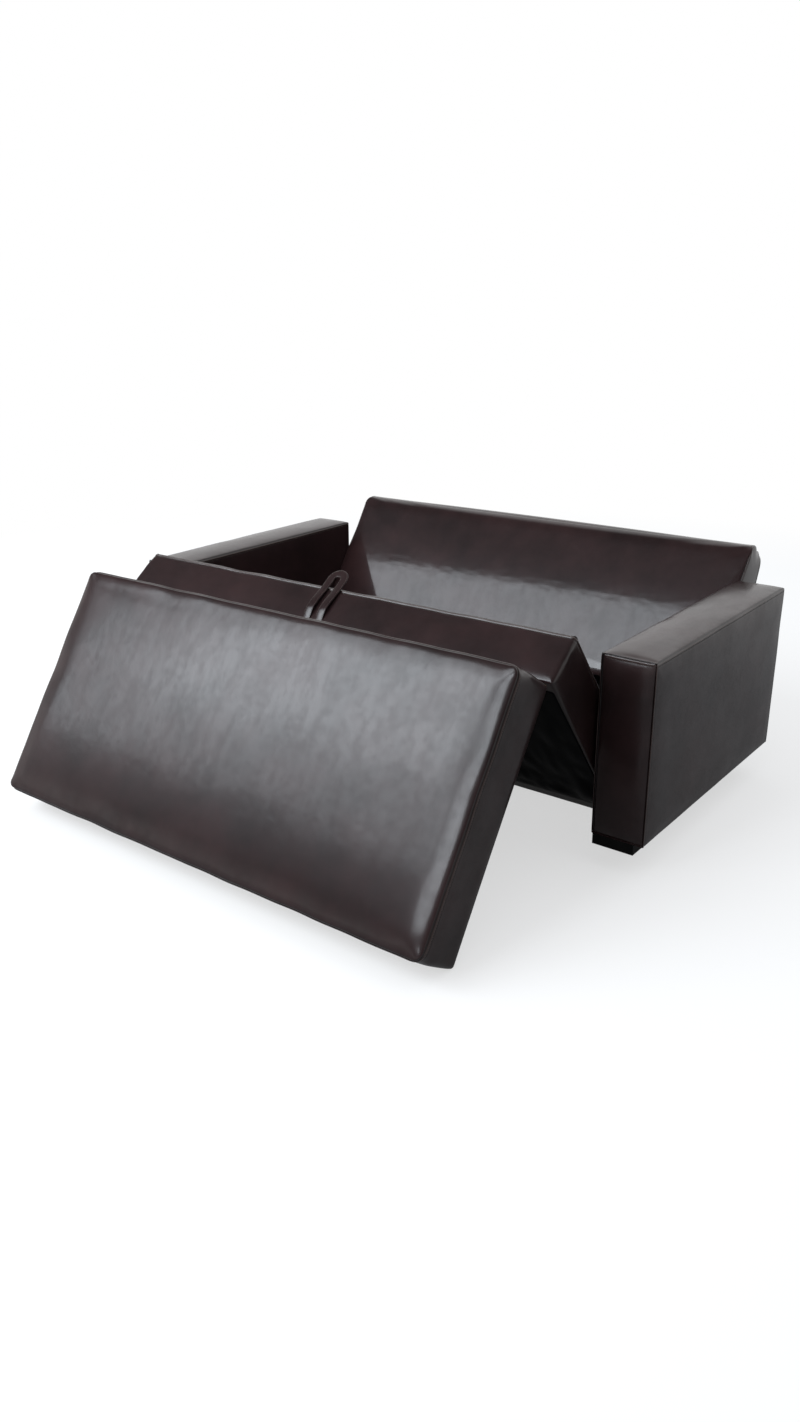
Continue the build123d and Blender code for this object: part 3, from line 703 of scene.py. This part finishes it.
def makeStitches(name, rows, body, look=stitchLook):
    deselectAll()
    bpy.ops.mesh.primitive_uv_sphere_add(segments=6, ring_count=4, radius=0.5)
    one = bpy.context.object
    bpy.ops.object.mode_set(mode="EDIT")
    bpy.ops.mesh.select_all(action="SELECT")
    bpy.ops.transform.resize(value=(look["length"], 2 * look["radius"], 2 * look["radius"]))
    bpy.ops.object.mode_set(mode="OBJECT")
    shape = meshPoints(one.data)
    faces = [list(face.vertices) for face in one.data.polygons]
    bpy.data.objects.remove(one)
    points, allFaces = [], []
    for start, end, normal in rows:
        way = (end - start).normalized()
        side = normal.cross(way).normalized()
        up = way.cross(side)
        turn = np.array([way, side, up])
        centre = np.array((start + end) / 2 + up * (look["radius"] - look["sunk"]))
        allFaces += [[corner + len(points) * len(shape) for corner in face] for face in faces]
        points.append(shape @ turn + centre)
    mesh = bpy.data.meshes.new(name)
    mesh.from_pydata(np.concatenate(points).tolist(), [], allFaces)
    obj = bpy.data.objects.new(name, mesh)
    bpy.context.scene.collection.objects.link(obj)
    smooth(obj)
    dress(obj, thread)
    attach(obj, body)
    return obj


def smooth(obj):
    obj.data.shade_smooth()


def turnInto(obj, place):
    obj.data.transform(place)
    obj.data.update()


# An edge is named by the two panels that meet there, (axis, end, axis, end), with its strength.
# The ridge of a seam lies on the first of the two.
topSeams = {(axis, end, 2, 1): 1.0 for axis in (0, 1) for end in (0, 1)}

cushionLook = {
    "grid": 0.0125,
    "edgeSteps": (0.003, 0.003, 0.0035, 0.005, 0.008),
    "holdNear": 0.008,
    "holdFade": 0.03,
    "heldPanel": (2, 0),
    "softPanel": (2, 1),
    "firmShare": 0.35,
    "stiffness": 30,
    "bending": 2.0,
    "pressure": 1.5,
    "mass": 0.3,
    "quality": 4,
    "frames": 20,
    "ease": 0.0002,
    "cap": 0.003,
    "blendEdges": 0,
    "pressGap": 0.0006,
    "pressSoft": 0.0015,
    "grooveWidth": 0.0022,
    "groove": 0.0020,
    "ridgeAway": 0.0050,
    "ridgeWidth": 0.0024,
    "ridge": 0.0014,
    "stitchAway": 0.0095,
    "stitchWidth": 0.0018,
    "stitchDip": 0.0008,
    "lineShade": 0.5,
    "wander": 0.0030,
    "wanderLength": 0.11,
    "wanderReach": 0.035,
    "wanderSeed": 8.1,
    "pucker": 0.0006,
    "puckerReach": 0.018,
    "puckerLength": 0.022,
    "puckerSeed": 3.7,
    "waves": [(0.0016, 0.16, (1, 1, 1), 2.0), (0.0009, 0.05, (1, 1.6, 1), 9.0)],
    "wavesFrom": 0.03,  # from a seam, where they reach their full height
}


def pressFlat(obj, faces, soft):
    # leather that will lie against another section stays behind a plane, given as axis, direction and place
    points = meshPoints(obj.data)
    for axis, way, plane in faces:
        over = way * (points[:, axis] - plane) + soft
        pressed = plane - way * soft * np.exp(-np.maximum(over, 0) / soft)
        points[:, axis] = np.where(over > 0, pressed, points[:, axis])
    setMeshPoints(obj.data, points)


def finishPadded(obj, rest, lengths, seams, look, place, body, replaced, material=leather, faces=()):
    if look["blendEdges"]:
        applyModifier(obj, "SMOOTH", factor=0.5, iterations=look["blendEdges"])
    inflate(obj, rest, lengths, seams, look)
    applyModifier(obj, "SUBSURF", levels=1, render_levels=1)
    sewPanels(obj, lengths, seams, look)
    pressFlat(obj, faces, look["pressSoft"])
    turnInto(obj, place)
    smooth(obj)
    dress(obj, material)
    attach(obj, body)
    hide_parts(*replaced)
    print("padded piece:", obj.name, len(obj.data.polygons), "faces")


def underRounds(look):  # round edges below the four sides, as roundCorner takes them
    return [(axis, 2, end, 0, look["underRound"]) for axis in (1, 0) for end in (0, 1)]


# The three sections

sectionLook = dict(
    cushionLook, seamDrop=0.009, proud=0.0, shoulderWidth=0.050, shoulderSteep=2.0, crown=0.002,
    cornerRound=0.014, cornerDepths=(0.02, 0.05), cornerShares=(1, 0.5), underRound=0.006,
    sideSwell=0.002, sideShoulder=0.03, sideSteep=1.6, sideDraw=-0.003, endInset=0.0007)
frontLook = dict(
    sectionLook, seamDrop=0.014, proud=0.010, shoulderWidth=0.062, shoulderSteep=1.7, crown=0.003,
    cornerRound=0.032, wander=0.0022, pucker=0.0003,
    waves=[(0.0012, 0.16, (1, 1, 1), 2.0), (0.0003, 0.05, (1, 1, 1), 9.0)])


def makeSection(name, place, body, look=sectionLook, pressed=()):
    low, high = localBox(body + "_cover", place)
    faces = []
    for axis, end in pressed:
        way = 1 if end else -1
        faces.append((axis, way, (high if end else low)[axis] - way * look["pressGap"]))
    top = high[2] + look["proud"] - look["seamDrop"]
    inset = [0, look["endInset"], 0]
    low, high = low + inset, high - inset
    lengths = [high[0] - low[0], high[1] - low[1], top - low[2]]
    obj, rest = addPanelBox(name, lengths, look)
    outline = [(low[1], low[2]), (high[1], low[2]), (high[1], top), (low[1], top)]
    side = (0.0, look["sideShoulder"], look["sideDraw"], look["sideSteep"])
    rise = look["seamDrop"] - look["crown"]
    panels = {
        (2, 1): (rise, look["shoulderWidth"], look["crown"], look["shoulderSteep"]),
        (0, 0): side, (0, 1): side,
    }
    # the padding's corners are round, those of the timber below it nearly square
    shares = np.interp(lengths[2] - rest[:, 2], look["cornerDepths"], look["cornerShares"])
    corner = look["cornerRound"] * shares
    rounds = [(0, 1, first, second, corner) for first in (0, 1) for second in (0, 1)]
    rounds += underRounds(look)
    setMeshPoints(obj.data, shapePanels(rest, lengths, outline, low[0], panels, rounds))
    onSides = (rest[:, 2] < lengths[2]) & (rest[:, 2] > 0)
    height = np.minimum(rest[:, 2], lengths[2] - rest[:, 2])
    pushOut(obj, look["sideSwell"] * onSides * shoulder(height, look["sideShoulder"], look["sideSteep"]))
    replaced = [body + "_cover", body + "_padding"]
    finishPadded(obj, rest, lengths, topSeams, look, place, body, replaced, faces=faces)
    makeStitches(name + "Stitches", topStitches(obj, lengths, look), body)


makeSection("frontSection", frontPlace, "front_section", frontLook)
# the middle and the rear section meet end to end in the open bed and face to face when closed
makeSection("middleSection", middlePlace, "middle_section", pressed=[(1, 1), (2, 1)])
makeSection("rearSection", rearPlace, "rear_section", pressed=[(1, 0), (2, 1)])


# Arms

armLook = dict(
    cushionLook, topDrop=0.010, proud=0.006, topShoulder=0.05, topSteep=1.8, crown=0.005,
    sideSwell=0.003, sideShoulder=0.05, sideSteep=1.6, frontSwell=0.009, frontShoulder=0.045,
    frontSteep=1.1, rearSwell=0.003, underRound=0.004, cornerRound=0.008,
    tuckAways=(0.008, 0.0155), tuckWidth=0.0026, tuckDepth=0.0022, tuckFrom=0.30, tuckRise=0.15,
    tuckFall=0.06, wander=0.0010, ridge=0.0007, stitchDip=0.0004,
    waves=[(0.0012, 0.20, (1, 1, 1), 2.0), (0.0006, 0.06, (1, 1, 0.6), 9.0)])


def makeArm(name, node, outer, look=armLook):  # outer is 1 where the arm's outer side is its high x side
    low, high = localBox(node + "_cover", standing)
    top = high[2] + look["proud"] - look["topDrop"]
    lengths = [high[0] - low[0], high[1] - low[1], top - low[2]]
    obj, rest = addPanelBox(name, lengths, look)
    outline = [(low[1], low[2]), (high[1], low[2]), (high[1], top), (low[1], top)]
    side = (look["sideSwell"], look["sideShoulder"], 0.0, look["sideSteep"])
    panels = {
        (2, 1): (look["topDrop"] - look["crown"], look["topShoulder"], look["crown"], look["topSteep"]),
        (0, 0): side, (0, 1): side,
        (1, 0): (look["frontSwell"], look["frontShoulder"], 0.0, look["frontSteep"]),
        (1, 1): (look["rearSwell"], look["sideShoulder"], 0.0, look["sideSteep"]),
    }
    rounds = [(0, 1, end, 0, look["cornerRound"]) for end in (0, 1)] + underRounds(look)
    points = shapePanels(rest, lengths, outline, low[0], panels, rounds)
    points[:, 1] += look["frontSwell"] * (rest[:, 1] == 0)  # the front panel swells within the arm's length
    share = rest[:, 0] / lengths[0] if outer else 1 - rest[:, 0] / lengths[0]
    onTop = rest[:, 2] == lengths[2]
    fade = np.clip((share - look["tuckFrom"]) / look["tuckRise"], 0, 1)
    fade = fade * np.clip((1 - share) / look["tuckFall"], 0, 1)
    for away in look["tuckAways"]:  # two folds tucked in behind the front seam
        fold = np.exp(-((rest[:, 1] - away) / look["tuckWidth"]) ** 2)
        points[:, 2] -= onTop * fade * look["tuckDepth"] * fold
    setMeshPoints(obj.data, points)
    seams = dict(topSeams)
    seams.update({(0, 0, 1, 0): 0.9, (0, 1, 1, 0): 0.9, (0, 0, 1, 1): 0.5, (0, 1, 1, 1): 0.5})
    replaced = [node + "_cover", node + "_padding"]
    finishPadded(obj, rest, lengths, seams, look, standing, "sofa_frame", replaced)
    makeStitches(name + "Stitches", topStitches(obj, lengths, look), "sofa_frame")


makeArm("rightArm", "right_arm", 1)
makeArm("leftArm", "left_arm", 0)


# Backrest, a wedge with a seam at each end

backLook = dict(
    cushionLook, heldPanel=(1, 1), softPanel=(1, 0), frontLean=36.5, rearLean=15.3, endSlice=0.001,
    raised=0.024, shoulderWidth=0.07, crown=0.006, frontSteep=1.8, topCrown=0.006, topSteep=1.6,
    endRound=0.016, frontRound=0.052, rearRound=0.024, lowRound=0.022, shoulderRound=0.042,
    wander=0.0022, groove=0.0012, ridge=0.0006, blendEdges=8,
    waves=[(0.0003, 0.5, (1, 1, 1), 2.0), (0.00005, 0.05, (1, 0.3, 0.3), 9.0)])


def wedgeOutline(node, look):
    # corners of the end outline, from the node's lowest, highest, foremost and rearmost points
    points = meshPoints(nodes[node].data)
    half = points[:, 0].max()
    ends = points[points[:, 0] > half - look["endSlice"]][:, 1:]
    low = ends[:, 1].min()
    lean, rearLean = radians(look["frontLean"]), radians(look["rearLean"])
    along, inward = np.array([sin(lean), cos(lean)]), np.array([cos(lean), -sin(lean)])
    face = (ends @ inward).min()
    cap = (ends @ along).max() + look["raised"]
    rearOut = np.array([cos(rearLean), -sin(rearLean)])
    rear = (ends @ rearOut).max()

    def meet(wayA, valueA, wayB, valueB):
        return np.linalg.solve(np.array([wayA, wayB]), np.array([valueA, valueB]))

    floor = np.array([0.0, 1.0])
    return half, [
        meet(inward, face, floor, low), meet(rearOut, rear, floor, low),
        meet(rearOut, rear, along, cap), meet(inward, face, along, cap)]


def makeBackrest(look=backLook):
    half, corners = wedgeOutline("backrest_cover", look)
    lowDepth, topDepth = (float(np.linalg.norm(corners[b] - corners[a])) for a, b in ((0, 1), (3, 2)))
    lengths = [2 * half, (lowDepth + topDepth) / 2, float(np.linalg.norm(corners[3] - corners[0]))]
    atLow, atTop = lengths[1] / lowDepth, lengths[1] / topDepth
    obj, rest = addPanelBox("backrest", lengths, look)
    front = (0.0, look["shoulderWidth"], look["crown"], look["frontSteep"])
    top = (0.0, look["shoulderWidth"], look["topCrown"], look["topSteep"])
    panels = {(1, 0): front, (2, 1): top}
    rounds = [(0, 1, 0, 0, look["endRound"]), (0, 1, 1, 0, look["endRound"]),
              (0, 2, 0, 1, look["shoulderRound"]), (0, 2, 1, 1, look["shoulderRound"]),
              (1, 2, 0, 1, look["frontRound"], atTop), (1, 2, 1, 1, look["rearRound"], atTop),
              (1, 2, 0, 0, look["lowRound"], atLow), (1, 2, 1, 0, look["lowRound"], atLow)]
    setMeshPoints(obj.data, shapePanels(rest, lengths, corners, -half, panels, rounds))
    seams = {(0, side, 1, end): 1.0 for side in (0, 1) for end in (0, 1)}
    seams.update({(0, side, 2, 1): 1.0 for side in (0, 1)})
    replaced = ["backrest_cover", "backrest_padding"]
    finishPadded(obj, rest, lengths, seams, look, standing, "sofa_frame", replaced, tautLeather)


makeBackrest()


# Linings, thin cloth stapled under the sections and the backrest, slack between its staples

liningLook = {"grid": 0.014, "thickness": 0.0006, "widen": 0.032, "foldLength": 0.045, "foldStretch": 2.5,
              "foldSeed": 900, "sagReach": 0.10, "edgeReach": 0.03}


def makeLiningSheet(name, node, place, body, slack, sag=0.0, keep=1, look=liningLook):
    # slack folds all over, and sag more of them near the end at high y
    low, high = localBox(node, place)
    width, depth = high[0] - low[0] + 2 * look["widen"], high[1] - low[1]
    deselectAll()
    counts = [int(size / look["grid"]) for size in (width, depth)]
    bpy.ops.mesh.primitive_grid_add(x_subdivisions=counts[0], y_subdivisions=counts[1], size=1)
    obj = bpy.context.object
    obj.name = obj.data.name = name
    flat = meshPoints(obj.data)
    inwards = np.minimum((0.5 - np.abs(flat[:, 0])) * width, (0.5 - np.abs(flat[:, 1])) * depth)
    middle = (low[1] + high[1]) / 2
    points = np.column_stack([flat[:, 0] * width, flat[:, 1] * depth + middle, flat[:, 2] + high[2]])
    size, seed = look["foldLength"], slack * look["foldSeed"]
    folds = np.array([
        abs(noise.noise(Vector((p[0] / size, p[1] / size / look["foldStretch"], seed)))) for p in points])
    deep = slack + sag * np.exp(-(0.5 - flat[:, 1]) * depth / look["sagReach"])
    points[:, 2] -= look["thickness"] + deep * folds * np.clip(inwards / look["edgeReach"], 0, 1)
    setMeshPoints(obj.data, points)
    applyModifier(obj, "SUBSURF", levels=1, render_levels=1)
    applyModifier(obj, "SOLIDIFY", thickness=look["thickness"], offset=0)
    turnInto(obj, place)
    smooth(obj)
    dress(obj, finishes["black_lining"])
    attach(obj, body)
    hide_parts(node)
    if keep < 1:  # gets its own mesh, since it is pressed flat between two sections when the sofa is closed
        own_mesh(obj)
    print("  ", name, "flat size", round(width, 4), "x", round(depth, 4))


makeLiningSheet("middleLining", "middle_section_dust_cover", middlePlace, "middle_section",
                0.006, sag=0.022, keep=0.08)
makeLiningSheet("frontLining", "front_section_dust_cover", frontPlace, "front_section",
                0.0025, keep=0.4)
makeLiningSheet("rearLining", "rear_section_dust_cover", rearPlace, "rear_section",
                0.0025)
makeLiningSheet("backLining", "backrest_lining", standing, "sofa_frame", 0.0025)
print("linings made")


# Pull strap, a flat loop of doubled leather sewn along its edges

strapLook = {"band": 0.025, "thickness": 0.003, "arcSteps": 20, "legSteps": 16, "edgeRound": 0.0009,
             "stitchInset": 0.0028, "legPoints": 30, "arcPoints": 40, "clamped": 0.018, "leaves": 0.045,
             "away": 0.012, "returns": 0.10, "restsAt": 0.003, "flattened": 0.25}


def strapBow(height, look):  # how far the strap stands off the section at a height over its foot
    def ease(share):
        share = np.clip(share, 0, 1)
        return share * share * (3 - 2 * share)
    leaving = ease((height - look["clamped"]) / look["leaves"])
    returning = ease((height - look["clamped"] - look["leaves"]) / look["returns"])
    return look["away"] * leaving - (look["away"] - look["restsAt"]) * returning


def makeStrap(look=strapLook):
    low, high = localBox("pull_strap", middlePlace)
    centreX, backY = (low[0] + high[0]) / 2, high[1]
    radius = (high[0] - low[0]) / 2 - look["band"] / 2
    turnZ = high[2] - (high[0] - low[0]) / 2
    leg = turnZ - low[2]
    deselectAll()
    bpy.ops.mesh.primitive_plane_add(size=1)
    obj = bpy.context.object
    obj.name = obj.data.name = "pullStrap"
    bpy.ops.object.mode_set(mode="EDIT")
    bpy.ops.transform.resize(value=(look["band"], look["thickness"], 1))
    bpy.ops.transform.translate(value=(radius, 0, -leg))
    bpy.ops.mesh.delete(type="ONLY_FACE")
    bpy.ops.mesh.select_all(action="SELECT")
    for number in range(look["legSteps"]):
        bpy.ops.mesh.extrude_edges_move(TRANSFORM_OT_translate={"value": (0, 0, leg / look["legSteps"])})
    bpy.ops.mesh.spin(steps=look["arcSteps"], angle=pi, center=(0, 0, 0), axis=(0, 1, 0))
    for number in range(look["legSteps"]):
        bpy.ops.mesh.extrude_edges_move(TRANSFORM_OT_translate={"value": (0, 0, -leg / look["legSteps"])})
    bpy.ops.mesh.select_all(action="SELECT")
    bpy.ops.mesh.normals_make_consistent(inside=False)
    bpy.ops.object.mode_set(mode="OBJECT")
    applyModifier(obj, "BEVEL", width=look["edgeRound"], segments=2, limit_method="ANGLE")
    points = meshPoints(obj.data)
    bend = strapBow(points[:, 2] + leg, look)
    points += [centreX, backY - look["thickness"] / 2, turnZ]
    points[:, 1] -= bend
    setMeshPoints(obj.data, points)
    turnInto(obj, middlePlace)
    smooth(obj)
    dress(obj, leather)
    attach(obj, "middle_section")
    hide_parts("pull_strap")

    rows = []
    out = middlePlace.to_3x3() @ Vector((0, -1, 0))
    for offset in (-1, 1):  # inner and outer edge of the band
        far = radius + offset * (look["band"] / 2 - look["stitchInset"])
        path = [(far, z) for z in np.linspace(-leg, 0, look["legPoints"])]
        path += [(far * cos(turn), far * sin(turn)) for turn in np.linspace(0, pi, look["arcPoints"])[1:]]
        path += [(-far, z) for z in np.linspace(0, -leg, look["legPoints"])[1:]]
        path = np.array([
            (centreX + x, backY - look["thickness"] - strapBow(z + leg, look), turnZ + z) for x, z in path])
        steps = lineSteps(path)
        for middle in np.arange(stitchLook["pitch"], steps[-1], stitchLook["pitch"]):
            places = [middle + side * stitchLook["length"] / 2 for side in (-1, 1)]
            ends = [middlePlace @ Vector(pointAt(steps, path, place)) for place in places]
            rows.append((*ends, out))
    stitches = makeStitches("strapStitches", rows, "middle_section")
    for piece in (obj, stitches):  # each gets its own mesh, since it is pressed flat between the ends of the two sections as the bed opens
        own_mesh(piece)


makeStrap()
print("pull strap made")


# Camera, light and floor

cameraLook = {"place": (1.9755, -2.5109, 1.4647), "yaw": 38.02, "pitch": 21.37, "roll": -0.73,
              "focalPixels": 1086.35, "longSidePixels": 1422}


def makeCamera(look=cameraLook):
    yaw, pitch, roll = (radians(look[key]) for key in ("yaw", "pitch", "roll"))
    ahead = Vector((-sin(yaw) * cos(pitch), cos(yaw) * cos(pitch), -sin(pitch)))
    right = Vector((cos(yaw), sin(yaw), 0))
    up = right.cross(ahead)
    right, up = cos(roll) * right + sin(roll) * up, -sin(roll) * right + cos(roll) * up
    data = bpy.data.cameras.new("camera")
    camera = bpy.data.objects.new("camera", data)
    bpy.context.scene.collection.objects.link(camera)
    turn = Matrix((right, up, -ahead)).transposed().to_4x4()
    camera.matrix_world = Matrix.Translation(look["place"]) @ turn
    data.sensor_width = 36
    data.lens = data.sensor_width * look["focalPixels"] / look["longSidePixels"]
    bpy.context.scene.camera = camera


def makeAreaLight(name, place, size, power, colour):  # faces the sofa, along y
    data = bpy.data.lights.new(name, "AREA")
    data.color = colour
    data.shape = "RECTANGLE"
    data.size, data.size_y = size
    data.energy = power
    light = bpy.data.objects.new(name, data)
    bpy.context.scene.collection.objects.link(light)
    light.location = place
    way = Vector((place[0], 0, place[2])) - Vector(place)
    light.rotation_euler = way.to_track_quat("-Z", "Y").to_euler()


def seenDirectly(tree):  # 1 where the camera, a reflection or glass sees the surface itself
    rays = tree.nodes.new("ShaderNodeLightPath").outputs
    first = mathOf(tree, "MAXIMUM", rays["Is Camera Ray"], rays["Is Glossy Ray"])
    return mathOf(tree, "MAXIMUM", first, rays["Is Transmission Ray"])


studioLook = {
    "ambientLow": 0.12,
    "ambientHigh": 1.15,
    "ambientFull": 0.9,  # height of the sky where the soft light is full
    "ambientColour": (0.92, 0.95, 1.0),
    "domeStops": [(0.03, 0.8), (0.10, 0.45), (0.15, 0.5), (0.20, 1.0), (0.25, 0.95), (0.33, 0.08)],
    "domeTilt": 0.10,
    "wallBehind": (0.15, 0.45, 0.95),  # starts, full, brightness
    "floorSize": 60,
    "floorColour": (0.86, 0.86, 0.85),
    "floorBounce": 0.22,
    "whiteShare": 0.6,
    "glossyShare": 0.1,
    "glossyFar": 0.6,
    "clearFrom": 1.6,
    "clearTo": 4.5,
    "windowColour": (0.88, 0.94, 1.0),
    # a tall window in front on the left, wider above, brighter at its right, and a dim strip beside it
    "windows": {  # place, size, power
        "windowLow": ((-2.85, -3.17, 3.05), (4.7, 2.7), 178),
        "windowHigh": ((-3.55, -3.17, 5.3), (6.1, 1.8), 180),
        "windowBright": ((-2.4, -3.15, 3.3), (3.0, 2.0), 96),
        "stripLight": ((0.05, -3.2, 2.5), (0.8, 2.2), 50),
    },
}


def makeWorld(look):
    world = bpy.data.worlds.new("studio")
    bpy.context.scene.world = world
    world.use_nodes = True
    tree = world.node_tree
    background = tree.nodes["Background"]
    # seen directly, the dome is white near the horizon and dark overhead, its soft light comes from above
    way = tree.nodes.new("ShaderNodeTexCoord").outputs["Generated"]
    split = addNode(tree, "ShaderNodeSeparateXYZ", {0: way}).outputs
    tilt = mathOf(tree, "MULTIPLY_ADD", split["Y"], -look["domeTilt"], split["Z"])
    dome = rampOf(tree, tilt, [(place, (level, level, level)) for place, level in look["domeStops"]])
    start, full, level = look["wallBehind"]
    behind = rangeOf(tree, split["Y"], 0.0, 1.0, start, full)
    dome = mixOf(tree, behind, dome, (level, level, level, 1), blend_type="LIGHTEN")
    camera = tree.nodes.new("ShaderNodeLightPath").outputs["Is Camera Ray"]
    dome = mixOf(tree, camera, dome, (1, 1, 1, 1))
    shade = mixOf(tree, seenDirectly(tree), (*look["ambientColour"], 1), dome)
    tree.links.new(shade, background.inputs["Color"])
    soft = rangeOf(tree, split["Z"], look["ambientLow"], look["ambientHigh"], 0.0, look["ambientFull"])
    strength = addNode(tree, "ShaderNodeMix", {"Factor": seenDirectly(tree), "A": soft, "B": 1.0})
    tree.links.new(strength.outputs["Result"], background.inputs["Strength"])


def makeFloor(look):  # pale, and clear white further out
    deselectAll()
    bpy.ops.mesh.primitive_plane_add(size=look["floorSize"])
    floor = bpy.context.object
    floor.name = "floor"
    material, tree, shader, place = startMaterial("paleFloor")
    tree.nodes.remove(shader)
    camera = tree.nodes.new("ShaderNodeLightPath").outputs["Is Camera Ray"]
    bounce = look["floorBounce"]
    pale = mixOf(tree, camera, (bounce, bounce, bounce, 1), (*look["floorColour"], 1))
    diffuse = addNode(tree, "ShaderNodeBsdfDiffuse", {"Color": pale})
    glow = addNode(tree, "ShaderNodeEmission", {"Color": (1, 1, 1, 1), "Strength": 1.0})
    reach = addNode(tree, "ShaderNodeVectorMath", {0: place}, operation="LENGTH").outputs["Value"]
    clear = rangeOf(tree, reach, 0.0, 1.0, look["clearFrom"], look["clearTo"])
    near = rangeOf(tree, camera, look["glossyShare"], look["whiteShare"])
    far = mathOf(tree, "MULTIPLY", rangeOf(tree, camera, look["glossyFar"], 1.0), clear)
    factor = mathOf(tree, "MULTIPLY", mathOf(tree, "MAXIMUM", near, far), seenDirectly(tree))
    mixed = addNode(tree, "ShaderNodeMixShader", {0: factor, 1: diffuse.outputs[0], 2: glow.outputs[0]})
    tree.links.new(mixed.outputs[0], tree.nodes["Material Output"].inputs["Surface"])
    dress(floor, material)


def makeStudio(look=studioLook):
    makeWorld(look)
    makeFloor(look)
    for name, (place, size, power) in look["windows"].items():
        makeAreaLight(name, place, size, power, look["windowColour"])


makeCamera()
makeStudio()
bpy.context.scene.view_settings.view_transform = "Standard"
print("camera, light and floor made")
